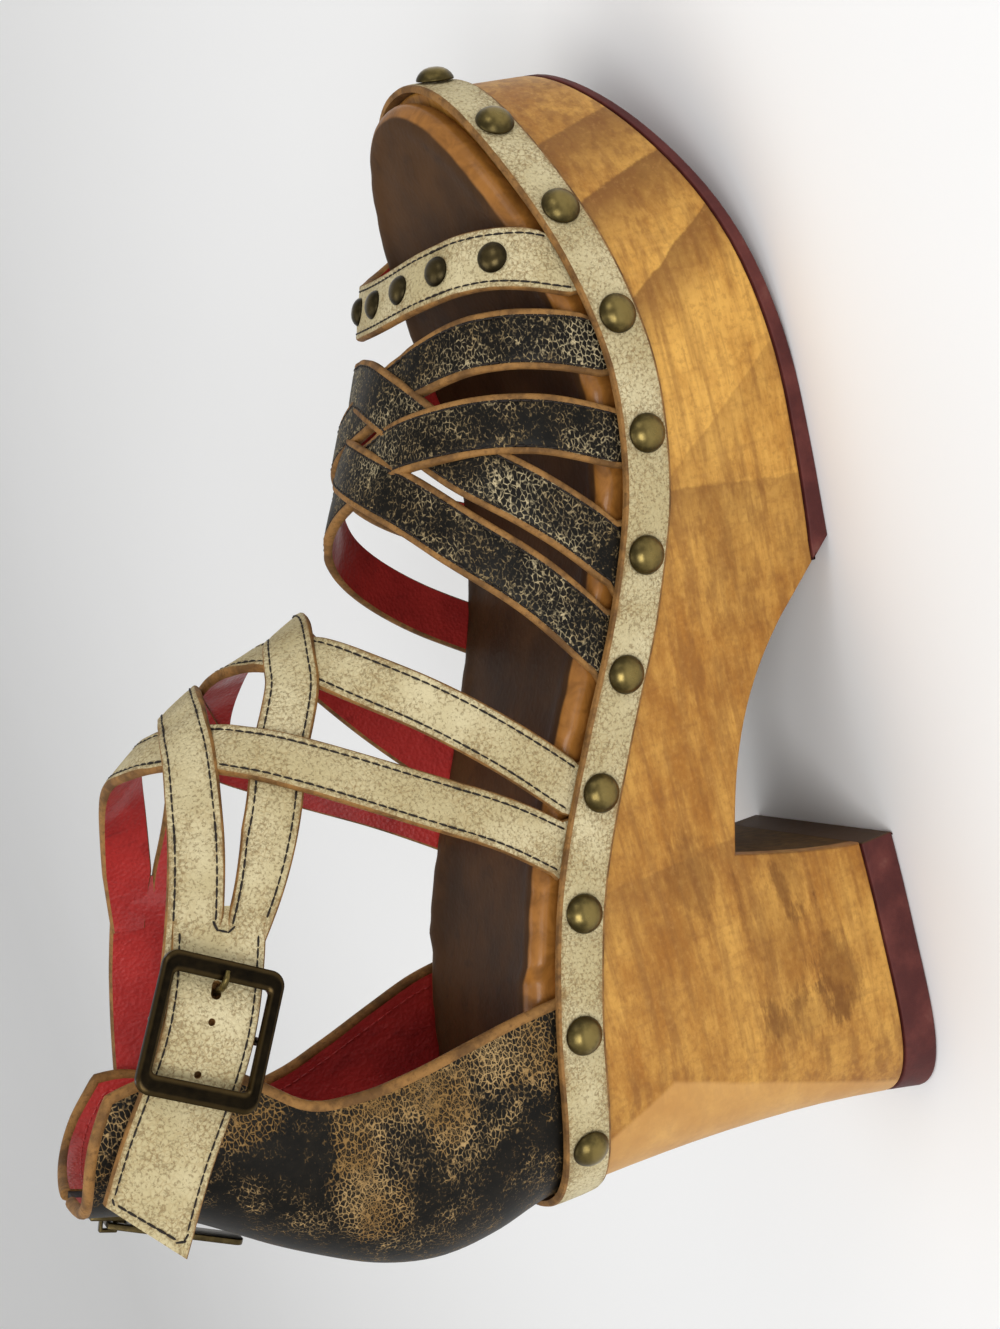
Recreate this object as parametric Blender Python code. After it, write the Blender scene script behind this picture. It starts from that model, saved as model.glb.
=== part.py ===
"""Wooden platform sandal for the right foot: strap upper, studded rand, heel counter with a back zip.

Lengths are millimetres until a mesh is made, which is in metres. The shoe's own frame has x from the
back of the heel seat to the toe, y from the outer side (minus) to the inner side (plus) and z up from
the floor. The empty "sandal" carries every piece and centres the whole on its footprint.
"""

import math

import bmesh
import bpy
import numpy as np
from mathutils import Matrix, Vector

MM = 0.001
GAP = 0.3
SMOOTH_DEGREES = 40.0

# Wooden sole
LENGTH = 247.0
HEEL_BACK = 3.0
HEEL_CAP = 32.0
HEEL_POWER_SEAT = 2.3
HEEL_POWER_FLOOR = 3.4
TOE_CAP = 62.0
TOE_POWER = 2.2
HEEL_FLARE = 12.0
HEEL_FLARE_POWER = 2.4
HEEL_FLARE_REACH = 62.0
TOE_UNDERCUT = 2.0
TOE_UNDERCUT_START = 185.0
BREAST_FOOT_X = 58.6
BREAST_TOP = (66.7, 40.6)
WAIST_END = (114.0, 15.4)
WAIST_SLOPES = (-0.29, -1.0)
PLATFORM_BACK_X = 128.0
ROCKER_START_X = 158.0
ROCKER_RADIUS = 178.0
TREAD_THICK = 4.8
TREAD_TOE_THICK = 2.2
TREAD_SKIVE_POWER = 0.6
LIFT_THICK = 8.7

# Footbed, rand and nails
FOOTBED_EDGE = ((0.6, 0.3), (0.4, 2.4), (1.0, 4.4), (3.2, 6.2), (6.5, 6.6), (10.5, 5.6), (17.0, 5.0))
RAND_THICK = 1.6
RAND_BELOW = 8.8
RAND_ABOVE = 2.2
NAIL_PROFILE = ((1.0, 0.0), (1.0, 0.18), (0.82, 0.62), (0.45, 0.92))
RAND_STUD_PITCH = 25.6
RAND_STUD_DIAMETER = 8.4
RAND_STUD_RISE = 2.8
FIRST_STUD_FROM_TOE = 11.6
BARE_STUD_PLACE = 11

# Leather straps
STRAP_THICK = 2.2
DOUBLED_THICK = 2.7
STRAP_STEP = 5.5
STRAP_INSET = 2.8
ROOT_BLEND = 15.0
NOTCH_SECTIONS = 5
NOTCH_CLEARANCE = 0.45
TOE_STRAP_WIDTH = 13.0
VAMP_STRAP_WIDTH = 12.5
INSTEP_STRAP_WIDTH = 11.3
BUCKLE_STRAP_WIDTH = 18.5
FORK_STRAP_WIDTH = 19.0
TIP_SLANT = 0.38
TIP_REACH = 16.0
TOE_STUD_DIAMETER = 6.5
TOE_STUD_RISE = 1.9
TOE_STUD_PITCH = 13.6
TOE_STUD_COUNT = 7
TOE_STUD_FIRST_ANGLE = 27.0
TOE_STUD_LIFT = 0.45

# Last
LAST_POWER = 2.2
TAIL_PER_DEGREE = 0.5
ANKLE_STATION = 7.6

# Heel counter and zip
COUNTER_FRONT_X = 51.0
COUNTER_THICK = 2.2
COUNTER_ROWS = 13
COUNTER_LIFT = 0.42
COUNTER_ROOM = 9.0
COUNTER_ROOM_BLEND = 4.0
ZIP_SLOT_HALF = 3.7
ZIP_SLOT_FOOT_Z = 112.0
ZIP_TAPE_THICK = 1.4
ZIP_CHAIN_HALF = 1.9
ZIP_CHAIN_RISE = 0.9
ZIP_SECTIONS = 14

# Zip slider and pull
SLIDER_Z = 185.0
SLIDER_LENGTH = 9.0
SLIDER_WIDTH = 7.0
SLIDER_PLATE = 1.6
BAIL_WIDTH = 1.6
BAIL_BAR = 0.8
BAIL_OPENING = 2.3
PULL_LENGTH = 29.0
PULL_WIDTH = 6.5
PULL_THICK = 1.3
PULL_CORNER = 2.0
PULL_EYE_LENGTH = 3.0
PULL_EYE_WIDTH = 3.0
PULL_CLEARANCE = 0.7

# Buckle
BUCKLE_LENGTH = 27.6
BUCKLE_WIDTH = 24.4
BUCKLE_END_BAR = 4.0
BUCKLE_SIDE_BAR = 2.6
BUCKLE_THICK = 2.4
BUCKLE_CROWN = 0.3
BUCKLE_CROWN_INSET = 0.25
BUCKLE_CORNER = 3.0
BUCKLE_ANGLE = 2.0
BUCKLE_FORK_LIFT = 5.8
BUCKLE_TIP_LIFT = 7.0
MIDDLE_BAR = 1.8
MIDDLE_BAR_LIFT = 1.6
PRONG_DIAMETER = 1.5
PRONG_SIDES = 8
PRONG_PATH = ((1.7, 1.2), (5.4, 1.2), (7.1, 2.4), (7.9, 4.8), (8.6, 7.4), (10.2, 8.6), (11.8, 8.5))
PRONG_HOLE = (5.2, 9.7)
PRONG_HOLE_WIDTH = 2.8


class Table:
    """A short design table, each column read as a smooth curve over the first one."""

    def __init__(self, columns, rows):
        self.columns = columns
        self.data = np.array(rows, float)

    def __call__(self, name, at):
        xs = self.data[:, 0]
        ys = self.data[:, self.columns.index(name)]
        slopes = np.gradient(ys, xs)
        at = min(max(at, xs[0]), xs[-1])
        k = min(max(int(np.searchsorted(xs, at)) - 1, 0), len(xs) - 2)
        span = xs[k + 1] - xs[k]
        t = (at - xs[k]) / span
        start = (1 + 2 * t) * (1 - t) ** 2 * ys[k] + t * (1 - t) ** 2 * span * slopes[k]
        end = t * t * (3 - 2 * t) * ys[k + 1] + t * t * (t - 1) * span * slopes[k + 1]
        return float(start + end)


SOLE = Table(
    ("x", "top", "centre", "half", "taper"),
    (
        (0, 96.5, 0.0, 33.0, 4.5),
        (25, 94.8, 0.3, 34.0, 4.5),
        (50, 90.0, 0.0, 35.0, 4.5),
        (75, 81.3, -1.0, 33.5, 4.0),
        (100, 68.5, -1.5, 33.5, 3.0),
        (125, 55.7, -1.0, 37.0, 2.5),
        (150, 46.5, 0.5, 41.5, 2.0),
        (175, 43.3, 1.5, 43.8, 1.5),
        (200, 46.0, 3.0, 43.8, 1.5),
        (225, 50.2, 3.5, 40.0, 1.5),
        (247, 53.0, 5.0, 38.0, 1.5),
    ),
)

# Sections of the last: where each stands on the rand, how far that base rises and spreads at the ankle,
# and its crest
LAST = Table(
    ("station", "base_x", "rise", "spread", "crest_x", "crest_y", "crest_z"),
    (
        (0, 217, 0, 0, 219.5, 8, 64.0),
        (1, 200, 0, 0, 205.5, 6, 70.0),
        (2, 180, 0, 0, 189.3, 5, 77.5),
        (3, 160, 0, 0, 172.0, 4, 87.0),
        (4, 140, 0, 0, 157.0, 3, 96.0),
        (5, 120, 0, 0, 145.5, 2, 104.3),
        (6, 100, 0, 0, 138.7, 0, 114.3),
        (7, 82, 0, 0, 135.5, 0, 125.0),
        (8, 76, 26, 2, 132.0, 0, 137.2),
        (9, 73, 53, 3, 126.4, 0, 147.8),
        (10, 70, 83, 3, 118.8, 0, 159.3),
        (11, 66, 108, 2, 110.8, 0, 170.3),
    ),
)

# Heel cup: back line, front edge on the outer and inner side, and width of its plan at each height
CUP = Table(
    ("z", "back", "front", "inner_front", "widen"),
    (
        (90, 5.8, 51.0, 51.0, 1.00),
        (100, 5.4, 50.5, 49.8, 1.00),
        (112, 3.2, 49.4, 46.5, 1.01),
        (125, 3.3, 48.3, 42.5, 1.03),
        (137, 7.3, 48.4, 39.5, 1.04),
        (149, 14.5, 51.6, 39.5, 1.05),
        (157, 20.0, 59.2, 43.0, 1.06),
        (164, 25.5, 65.0, 48.5, 1.06),
        (171, 31.0, 67.0, 52.5, 1.06),
        (179, 36.0, 67.0, 54.0, 1.05),
        (193, 42.0, 65.0, 55.0, 1.04),
    ),
)
COUNTER_TOP_BACK = 193.0
COUNTER_TOP_FRONT = {"outer": 184.0, "inner": 177.0}
COUNTER_TOP_BEND = {"outer": 4.0, "inner": 1.6}

ROUTE = ("angle", "station", "lift")
TOE_ROUTE = Table(
    ROUTE,
    (
        (-3.0, 1.09, 0.0), (15, 1.00, 0.0), (30, 0.97, 0.0), (47, 1.00, 0.0), (64, 1.08, 0.0),
        (87, 1.16, 0.0), (115, 1.06, 0.0), (150, 0.74, 0.0), (183.0, 0.32, 0.0),
    ),
)
VAMP_ROUTES = {
    "A": Table(
        ROUTE,
        (
            (-3.0, 1.98, 0.0), (12, 1.92, 0.0), (31, 1.91, 0.0), (45, 1.97, 0.0), (60, 2.13, 0.0),
            (77, 2.36, 0.0), (93, 2.62, 0.8), (108, 2.86, 1.6), (122, 3.05, 0.8), (140, 3.28, 0.0),
            (165, 3.50, 0.0), (183.0, 3.60, 0.0),
        ),
    ),
    "B": Table(
        ROUTE,
        (
            (-3.0, 2.96, 0.0), (20, 2.81, 0.0), (37, 2.83, 0.8), (54, 2.95, 1.6), (68, 3.07, 0.8),
            (82, 3.28, 0.0), (105, 3.74, 0.0), (130, 4.24, 0.0), (160, 4.64, 0.0), (183.0, 4.80, 0.0),
        ),
    ),
    "C": Table(
        ROUTE,
        (
            (-3.0, 4.20, 0.0), (10, 3.86, 0.0), (20, 3.64, 0.0), (42, 3.21, 0.0), (54, 2.93, 0.0),
            (66, 2.64, 0.8), (77, 2.41, 1.6), (90, 2.20, 0.8), (110, 2.11, 0.0), (145, 1.95, 0.0),
            (183.0, 1.84, 0.0),
        ),
    ),
    "D": Table(
        ROUTE,
        (
            (-3.0, 5.05, 0.0), (16, 4.57, 0.0), (38, 4.12, 0.0), (58, 3.69, 0.6), (70, 3.48, 1.2),
            (82, 3.28, 1.6), (95, 3.08, 0.8), (108, 2.90, 0.0), (135, 2.62, 0.0), (160, 2.48, 0.0),
            (183.0, 2.42, 0.0),
        ),
    ),
}
INSTEP_ROUTES = {
    "E": Table(
        ROUTE,
        (
            (-3.0, 6.37, 0.0), (15, 6.30, 0.0), (33, 6.30, 0.0), (48, 6.37, 0.0), (61, 6.44, 0.0),
            (75, 6.60, 0.0), (92, 6.98, 0.0), (110, 7.50, 0.6), (122, 7.90, 1.2), (132, 8.22, 1.6),
            (143, 8.74, 1.0), (155, 9.22, 0.2), (167, 9.50, 0.0),
        ),
    ),
    "F": Table(
        ROUTE,
        (
            (-3.0, 7.00, 0.0), (9, 7.14, 0.0), (21, 7.41, 0.4), (33, 7.73, 1.1), (45, 8.11, 1.6),
            (55, 8.47, 0.8), (66, 8.85, 0.0), (89, 9.50, 0.0), (110, 9.62, 0.0), (135, 9.66, 0.0),
            (167, 9.75, 0.0),
        ),
    ),
    "G": Table(
        ROUTE,
        (
            (14, 9.52, 0.0), (20, 9.28, 0.0), (27, 8.98, 0.0), (37, 8.51, 0.0), (45, 8.11, 0.0),
            (54, 7.58, 0.6), (63, 7.04, 1.2), (74, 6.50, 1.6), (86, 6.10, 0.8), (104, 5.98, 0.0),
            (130, 6.08, 0.0), (160, 6.30, 0.0), (183.0, 6.40, 0.0),
        ),
    ),
    "H": Table(
        ROUTE,
        (
            (14, 9.86, 0.0), (24, 9.72, 0.0), (36, 9.53, 0.2), (50, 9.27, 1.0), (66, 8.88, 1.6),
            (80, 8.58, 0.8), (95, 8.33, 0.2), (115, 8.25, 0.0), (132, 8.20, 0.0), (150, 7.75, 0.0),
            (168, 7.28, 0.0), (183.0, 7.00, 0.0),
        ),
    ),
}
# The end that runs through the buckle, from its slanted tip to the fork
BUCKLE_ROUTE = Table(
    ROUTE,
    (
        (-26.5, 10.61, 2.4), (-16, 10.32, 2.4), (-7, 10.05, 2.6), (2, 9.83, 3.0), (6, 9.755, 2.1),
        (9, 9.70, 0.8), (11.5, 9.66, 0.0), (15, 9.61, -0.3), (19, 9.555, -0.3), (24, 9.49, -0.3),
    ),
)
# The inner side's end, sewn over the heel counter
INNER_ROUTE = Table(
    ROUTE,
    ((157, 9.43, -0.3), (166, 9.55, 0.0), (176, 9.64, 1.6), (186, 9.72, 3.2), (207, 9.88, 3.4)),
)


def top(x):
    """Height of the wood's upper face."""
    return SOLE("top", x)


def steepness(x):
    """Length along the sloping seat for each millimetre of height across it."""
    rise = (top(min(x + 1, LENGTH)) - top(max(x - 1, 0))) / 2
    return math.hypot(1, rise)


def cap(x, lean):
    """Share of the full width left at the rounded heel and toe."""
    if x < HEEL_BACK + HEEL_CAP:
        power = HEEL_POWER_SEAT + (HEEL_POWER_FLOOR - HEEL_POWER_SEAT) * lean
        return max(0.0, 1 - ((HEEL_BACK + HEEL_CAP - x) / HEEL_CAP) ** power) ** (1 / power)
    if x > LENGTH - TOE_CAP:
        return max(0.0, 1 - ((x - LENGTH + TOE_CAP) / TOE_CAP) ** TOE_POWER) ** (1 / TOE_POWER)
    return 1.0


def wall(x, z, side):
    """Point of the side wall: it leans in to the floor, flares at the heel and is undercut at the toe."""
    lean = 1 - min(max(z / top(x), 0.0), 1.0)
    half = (SOLE("half", x) - SOLE("taper", x) * lean) * cap(x, lean)
    flare = HEEL_FLARE * lean ** HEEL_FLARE_POWER * max(0.0, 1 - x / HEEL_FLARE_REACH) ** 2
    undercut_reach = (x - TOE_UNDERCUT_START) / (LENGTH - TOE_UNDERCUT_START)
    undercut = TOE_UNDERCUT * lean * max(0.0, undercut_reach) ** 2
    return (x - flare - undercut, SOLE("centre", x) + side * half, z)


def stations(start=HEEL_BACK, end=LENGTH, extra=(), spacing=8.0, cap_steps=8):
    """Places along the shoe where sections are taken, closer where heel and toe round off."""
    xs = set(extra)
    for k in range(cap_steps + 1):
        turn = math.cos(math.pi / 2 * k / cap_steps)
        xs.add(HEEL_BACK + HEEL_CAP * (1 - turn ** (2 / HEEL_POWER_SEAT)))
        xs.add(LENGTH - TOE_CAP * (1 - turn ** (2 / TOE_POWER)))
    straight = LENGTH - TOE_CAP - HEEL_CAP - HEEL_BACK
    count = round(straight / spacing)
    for k in range(1, count):
        xs.add(HEEL_BACK + HEEL_CAP + straight * k / count)
    xs.update((start, end))
    kept = []
    for x in sorted(xs):
        if start <= x <= end and (not kept or x - kept[-1] > 0.05):
            kept.append(x)
    kept[-1] = end
    return kept


def ring(rise, offset, xs):
    """Closed line round the shoe, so far above the wood's upper face and outside its wall."""
    track = [(x, -1) for x in xs] + [(x, 1) for x in reversed(xs[1:-1])]
    points = []
    for x, side in track:
        z = top(x) + rise * steepness(x)
        points.append(wall(x, z, side)[:2] + (z,))
    points = np.array(points)
    along = np.roll(points, -1, axis=0) - np.roll(points, 1, axis=0)
    out = np.stack([along[:, 1], -along[:, 0]], axis=1)
    out /= np.linalg.norm(out, axis=1)[:, None]
    points[:, :2] += offset * out
    return points


def new_object(name, mesh, material, parent):
    piece = bpy.data.objects.new(name, mesh)
    piece.parent = parent
    if material:
        mesh.materials.clear()
        mesh.materials.append(material)
    bpy.context.collection.objects.link(piece)
    return piece


def finish_mesh(name, bm):
    """Close, orient and shade a bmesh whose points are millimetres."""
    bmesh.ops.scale(bm, vec=(MM, MM, MM), verts=bm.verts)
    bmesh.ops.remove_doubles(bm, verts=bm.verts, dist=0.002 * MM)
    bmesh.ops.dissolve_degenerate(bm, edges=bm.edges, dist=0.001 * MM)
    bmesh.ops.triangulate(bm, faces=bm.faces)
    bmesh.ops.recalc_face_normals(bm, faces=bm.faces)
    mesh = bpy.data.meshes.new(name)
    bm.to_mesh(mesh)
    bm.free()
    mesh.shade_smooth()
    mesh.set_sharp_from_angle(angle=math.radians(SMOOTH_DEGREES))
    return mesh


def loft(sections, looped=False):
    """Closed loops of points joined in order, with the ends capped or joined to each other."""
    bm = bmesh.new()
    loops = [[bm.verts.new(point) for point in section] for section in sections]
    pairs = list(zip(loops, loops[1:]))
    if looped:
        pairs.append((loops[-1], loops[0]))
    for near, far in pairs:
        for k in range(len(near)):
            m = (k + 1) % len(near)
            bm.faces.new((near[k], near[m], far[m], far[k]))
    if not looped:
        bm.faces.new(loops[0])
        bm.faces.new(loops[-1])
    return bm


def sole_slab(xs, bottom, upper, levels):
    """A slab of the sole between two height curves, inside the sole's own wall."""
    sections = []
    for x in xs:
        low, high = bottom(x), upper(x)
        heights = [low + (high - low) * k / levels for k in range(levels + 1)]
        outer_side = [wall(x, z, -1) for z in heights]
        inner_side = [wall(x, z, 1) for z in reversed(heights)]
        sections.append(outer_side + inner_side)
    return loft(sections)


def bevel_height(x):
    """The platform's slanted back."""
    slope = WAIST_END[1] / (PLATFORM_BACK_X - WAIST_END[0])
    return (PLATFORM_BACK_X - x) * slope


def tread_bottom(x):
    if x < PLATFORM_BACK_X:
        return min(bevel_height(x), TREAD_THICK)
    reach = max(0.0, x - ROCKER_START_X)
    return ROCKER_RADIUS - math.sqrt(ROCKER_RADIUS ** 2 - reach ** 2)


def tread_top(x):
    """The tread is skived thinner towards the toe."""
    share = max(0.0, (x - PLATFORM_BACK_X) / (LENGTH - PLATFORM_BACK_X)) ** TREAD_SKIVE_POWER
    thick = TREAD_THICK + (TREAD_TOE_THICK - TREAD_THICK) * share
    return tread_bottom(max(x, PLATFORM_BACK_X)) + thick


def waist_height(x):
    """Arched underside between the heel breast and the platform."""
    span = WAIST_END[0] - BREAST_TOP[0]
    t = (x - BREAST_TOP[0]) / span
    start = (1 + 2 * t) * (1 - t) ** 2 * BREAST_TOP[1] + t * (1 - t) ** 2 * span * WAIST_SLOPES[0]
    end = t * t * (3 - 2 * t) * WAIST_END[1] + t * t * (t - 1) * span * WAIST_SLOPES[1]
    return start + end


def wood_bottom(x):
    heel_foot = LIFT_THICK + GAP
    if x <= BREAST_FOOT_X:
        return heel_foot
    if x <= BREAST_TOP[0]:
        share = (x - BREAST_FOOT_X) / (BREAST_TOP[0] - BREAST_FOOT_X)
        return heel_foot + (BREAST_TOP[1] - heel_foot) * share ** 0.8
    if x <= WAIST_END[0]:
        return waist_height(x)
    return max(bevel_height(x), tread_top(x) + GAP)


def make_wood():
    bevel_foot_x = PLATFORM_BACK_X - (TREAD_THICK + GAP) * (PLATFORM_BACK_X - WAIST_END[0]) / WAIST_END[1]
    breast = [BREAST_FOOT_X + (BREAST_TOP[0] - BREAST_FOOT_X) * k / 3 for k in range(4)]
    xs = stations(extra=[*breast, WAIST_END[0], bevel_foot_x], spacing=6.5)
    return finish_mesh("wood_sole", sole_slab(xs, wood_bottom, top, 5))


def make_tread():
    start = PLATFORM_BACK_X - TREAD_THICK * (PLATFORM_BACK_X - WAIST_END[0]) / WAIST_END[1]
    xs = stations(start=start, extra=[PLATFORM_BACK_X, ROCKER_START_X])
    return finish_mesh("forefoot_tread", sole_slab(xs, tread_bottom, tread_top, 1))


def make_lift():
    xs = stations(end=BREAST_FOOT_X)
    return finish_mesh("heel_lift", sole_slab(xs, lambda x: 0.0, lambda x: LIFT_THICK, 1))


def ring_pairs(count, xs):
    """Indices of the outer and inner side's points at the same place along a ring."""
    return [(k, (count - k) % count) for k in range(len(xs))]


def make_footbed():
    xs = stations(spacing=7.0)
    room = STRAP_INSET + 2 * GAP
    rings = []
    for inset, rise in FOOTBED_EDGE:
        line = ring(rise, -inset, xs)
        seat = ring(rise, -(inset + room), xs)
        heel = np.clip((COUNTER_FRONT_X + COUNTER_ROOM - line[:, 0]) / COUNTER_ROOM_BLEND, 0, 1)[:, None]
        rings.append(line * (1 - heel) + seat * heel)
    bm = bmesh.new()
    loops = [[bm.verts.new(point) for point in line] for line in rings]
    count = len(loops[0])
    for near, far in zip(loops, loops[1:]):
        for k in range(count):
            m = (k + 1) % count
            bm.faces.new((near[k], near[m], far[m], far[k]))
    pairs = ring_pairs(count, xs)
    for loop in (loops[0], loops[-1]):
        for (a, b), (c, d) in zip(pairs, pairs[1:]):
            corners = dict.fromkeys((loop[a], loop[b], loop[d], loop[c]))
            bm.faces.new(tuple(corners))
    return finish_mesh("footbed", bm)


def make_rand():
    xs = stations(spacing=6.5, cap_steps=9)
    inner = GAP
    outer = GAP + RAND_THICK
    corners = ((-RAND_BELOW, inner), (-RAND_BELOW, outer), (RAND_ABOVE, outer), (RAND_ABOVE, inner))
    rings = [ring(rise, offset, xs) for rise, offset in corners]
    sections = [[line[k] for line in rings] for k in range(len(rings[0]))]
    return finish_mesh("rand", loft(sections, looped=True))


def dome_mesh(name, diameter, rise, sides=10):
    """Domed nail head on a flat back."""
    bm = bmesh.new()
    loops = []
    for share, height in NAIL_PROFILE:
        loop = []
        for k in range(sides):
            angle = 2 * math.pi * k / sides
            radius = share * diameter / 2
            loop.append(bm.verts.new((radius * math.cos(angle), radius * math.sin(angle), height * rise)))
        loops.append(loop)
    for near, far in zip(loops, loops[1:]):
        for k in range(sides):
            m = (k + 1) % sides
            bm.faces.new((near[k], near[m], far[m], far[k]))
    crown = bm.verts.new((0, 0, rise))
    for k in range(sides):
        bm.faces.new((loops[-1][k], loops[-1][(k + 1) % sides], crown))
    bm.faces.new(loops[0])
    return finish_mesh(name, bm)


def place_stud(name, mesh, material, parent, point, out):
    stud = new_object(name, mesh, material, parent)
    stud.location = Vector(point) * MM
    stud.rotation_mode = "QUATERNION"
    stud.rotation_quaternion = Vector(out).to_track_quat("Z", "Y")
    return stud


def rand_stud_places():
    """Even places along the middle of the rand, counted from the toe along the outer side.

    One place at the back of the heel stays bare.
    """
    xs = stations(spacing=2.0, cap_steps=40)
    middle = (RAND_ABOVE - RAND_BELOW) / 2
    lines = []
    for rise in (middle - 1, middle, middle + 1):
        line = ring(rise, GAP + RAND_THICK + GAP, xs)
        line = np.roll(line[::-1], len(xs), axis=0)
        lines.append(np.vstack([line, line[:1]]))
    run = np.r_[0, np.cumsum(np.linalg.norm(np.diff(lines[1], axis=0), axis=1))]

    def at(line, distance):
        return np.array([np.interp(distance % run[-1], run, line[:, i]) for i in range(3)])

    count = round(run[-1] / RAND_STUD_PITCH)
    places = []
    for k in range(count):
        if k == BARE_STUD_PLACE:
            continue
        distance = FIRST_STUD_FROM_TOE + run[-1] * k / count
        along = at(lines[1], distance + 1) - at(lines[1], distance - 1)
        upward = at(lines[2], distance) - at(lines[0], distance)
        out = np.cross(upward, along)
        places.append((at(lines[1], distance), out / np.linalg.norm(out)))
    return places


def counter_plan():
    """Plan of the heel seat inside the rand, from the outer front edge round the back to the inner one."""
    slot_share = (ZIP_SLOT_HALF / SOLE("half", HEEL_BACK)) ** HEEL_POWER_SEAT
    slot_x = HEEL_BACK + HEEL_CAP * (1 - (1 - slot_share) ** (1 / HEEL_POWER_SEAT))
    line = ring(0, -STRAP_INSET, stations(extra=[slot_x, COUNTER_FRONT_X], spacing=9.0))
    heel = [p for p in line if p[0] <= COUNTER_FRONT_X + STRAP_INSET / 2]
    outer_side = sorted((p for p in heel if p[1] < 0), key=lambda p: -p[0])
    inner_side = sorted((p for p in heel if p[1] >= 0), key=lambda p: p[0])
    return np.array(outer_side + inner_side)[:, :2]


def cup_x(plan_x, z, side):
    seat_back = HEEL_BACK + STRAP_INSET
    share = (plan_x - seat_back) / (COUNTER_FRONT_X - seat_back)
    front = CUP("front" if side < 0 else "inner_front", z)
    return CUP("back", z) + share * (front - CUP("back", z))


def last_point(station, angle):
    """Point of the last: angle 0 is the outer side's base, 90 the crest and 180 the inner side's base.

    Past its base a section goes on down into the sole or, at the ankle, straight back along the heel.
    """
    base_x = LAST("base_x", station)
    base_z = top(base_x) + RAND_ABOVE + max(0.0, LAST("rise", station))
    side = -1 if angle < 90 else 1
    past = max(-angle, angle - 180, 0.0)
    foot = wall(base_x, top(base_x), side)[1] - side * STRAP_INSET + side * LAST("spread", station)
    if past and station > ANKLE_STATION:
        return (base_x - past, foot, base_z)
    if past:
        return (base_x, foot, base_z - past * TAIL_PER_DEGREE)
    crest = np.array([LAST("crest_x", station), LAST("crest_y", station), LAST("crest_z", station)])
    centre = np.array([base_x, crest[1], base_z])
    base = np.array([base_x, foot, base_z])
    sideways = abs(math.cos(math.radians(angle))) ** (2 / LAST_POWER)
    upward = abs(math.sin(math.radians(angle))) ** (2 / LAST_POWER)
    return tuple(centre + sideways * (base - centre) + upward * (crest - centre))


def last_frame(station, angle):
    """Point of the last and its outward direction."""
    point = np.array(last_point(station, angle))
    step = 0.5
    if angle < 0:
        across = np.array(last_point(station, angle)) - np.array(last_point(station, angle - step))
    elif angle > 180:
        across = np.array(last_point(station, angle + step)) - np.array(last_point(station, angle))
    else:
        low, high = max(angle - step, 0.01), min(angle + step, 179.99)
        across = np.array(last_point(station, high)) - np.array(last_point(station, low))
    along = np.array(last_point(station + 0.05, angle)) - np.array(last_point(station - 0.05, angle))
    out = np.cross(across, along)
    return point, out / np.linalg.norm(out)


class Strap:
    """A flat strip that follows a route on the last."""

    def __init__(self, route, width, tails=(True, True), step=STRAP_STEP, slant=0.0):
        self.route = route
        self.width = width
        self.tails = tails
        self.slant = slant
        angles = route.data[:, 0]
        fine = np.linspace(angles[0], angles[-1], 400)
        line = np.array([self.frame(angle)[0] for angle in fine])
        run = np.r_[0, np.cumsum(np.linalg.norm(np.diff(line, axis=0), axis=1))]
        self.fine, self.run = fine, run
        self.step = step

    def frame(self, angle):
        point, out = last_frame(self.route("station", angle), angle)
        return point + out * self.route("lift", angle), out

    def angle_at(self, distance):
        return float(np.interp(distance, self.run, self.fine))

    def distance_at(self, angle):
        return float(np.interp(angle, self.fine, self.run))

    def crosswise(self, distance):
        """Point, outward direction and half-width vector of the strip."""
        point, out = self.frame(self.angle_at(distance))
        length = self.run[-1]
        reach = 0.6
        ahead = self.frame(self.angle_at(min(distance + reach, length)))[0]
        behind = self.frame(self.angle_at(max(distance - reach, 0.0)))[0]
        along = (ahead - behind) / np.linalg.norm(ahead - behind)
        out = out - along * np.dot(out, along)
        out /= np.linalg.norm(out)
        across = np.cross(out, along) * self.width / 2
        for tail, spare in zip(self.tails, (distance, length - distance)):
            if tail and spare < ROOT_BLEND:
                across = self.lean(across, along, point, spare)
        slant = self.slant * max(0.0, 1 - distance / TIP_REACH)
        return point, out, across + along * slant * self.width / 2

    def lean(self, across, along, point, spare):
        """Turn the cut end so that it runs along the rand."""
        x, side = point[0], np.sign(point[1])
        seat = np.subtract(wall(x + 1, top(x + 1), side), wall(x - 1, top(x - 1), side))
        seat /= np.linalg.norm(seat)
        if np.dot(seat, across) < 0:
            seat = -seat
        slant = math.sqrt(max(1 - np.dot(seat, along) ** 2, 0.2))
        share = (spare / ROOT_BLEND) ** 2
        return across * share + seat * self.width / 2 / slant * (1 - share)

    def solid(self, first=0, last=None, grow=0.0, thick=STRAP_THICK):
        """The strip between two of its sections, as a loft."""
        count = max(2, round(self.run[-1] / self.step))
        sections = []
        for k in range(count + 1)[first:last]:
            point, out, across = self.crosswise(self.run[-1] * k / count)
            wide = across * (1 + grow / np.linalg.norm(across))
            inner, outer = point - out * grow, point + out * (thick + grow)
            sections.append(np.array([inner - wide, inner + wide, outer + wide, outer - wide]))
        for end, near in ((0, 1), (-1, -2)):
            away = np.mean(sections[end] - sections[near], axis=0)
            sections[end] += away / np.linalg.norm(away) * 3 * grow
        return loft(sections)


def cutter(name, mesh, parent):
    piece = new_object(name, mesh, None, parent)
    piece.hide_render = True
    piece.display_type = "WIRE"
    return piece


def boolean(piece, other, operation):
    change = piece.modifiers.new(operation.lower() + "_" + other.name, "BOOLEAN")
    change.operation = operation
    change.solver = "EXACT"
    change.object = other


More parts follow.
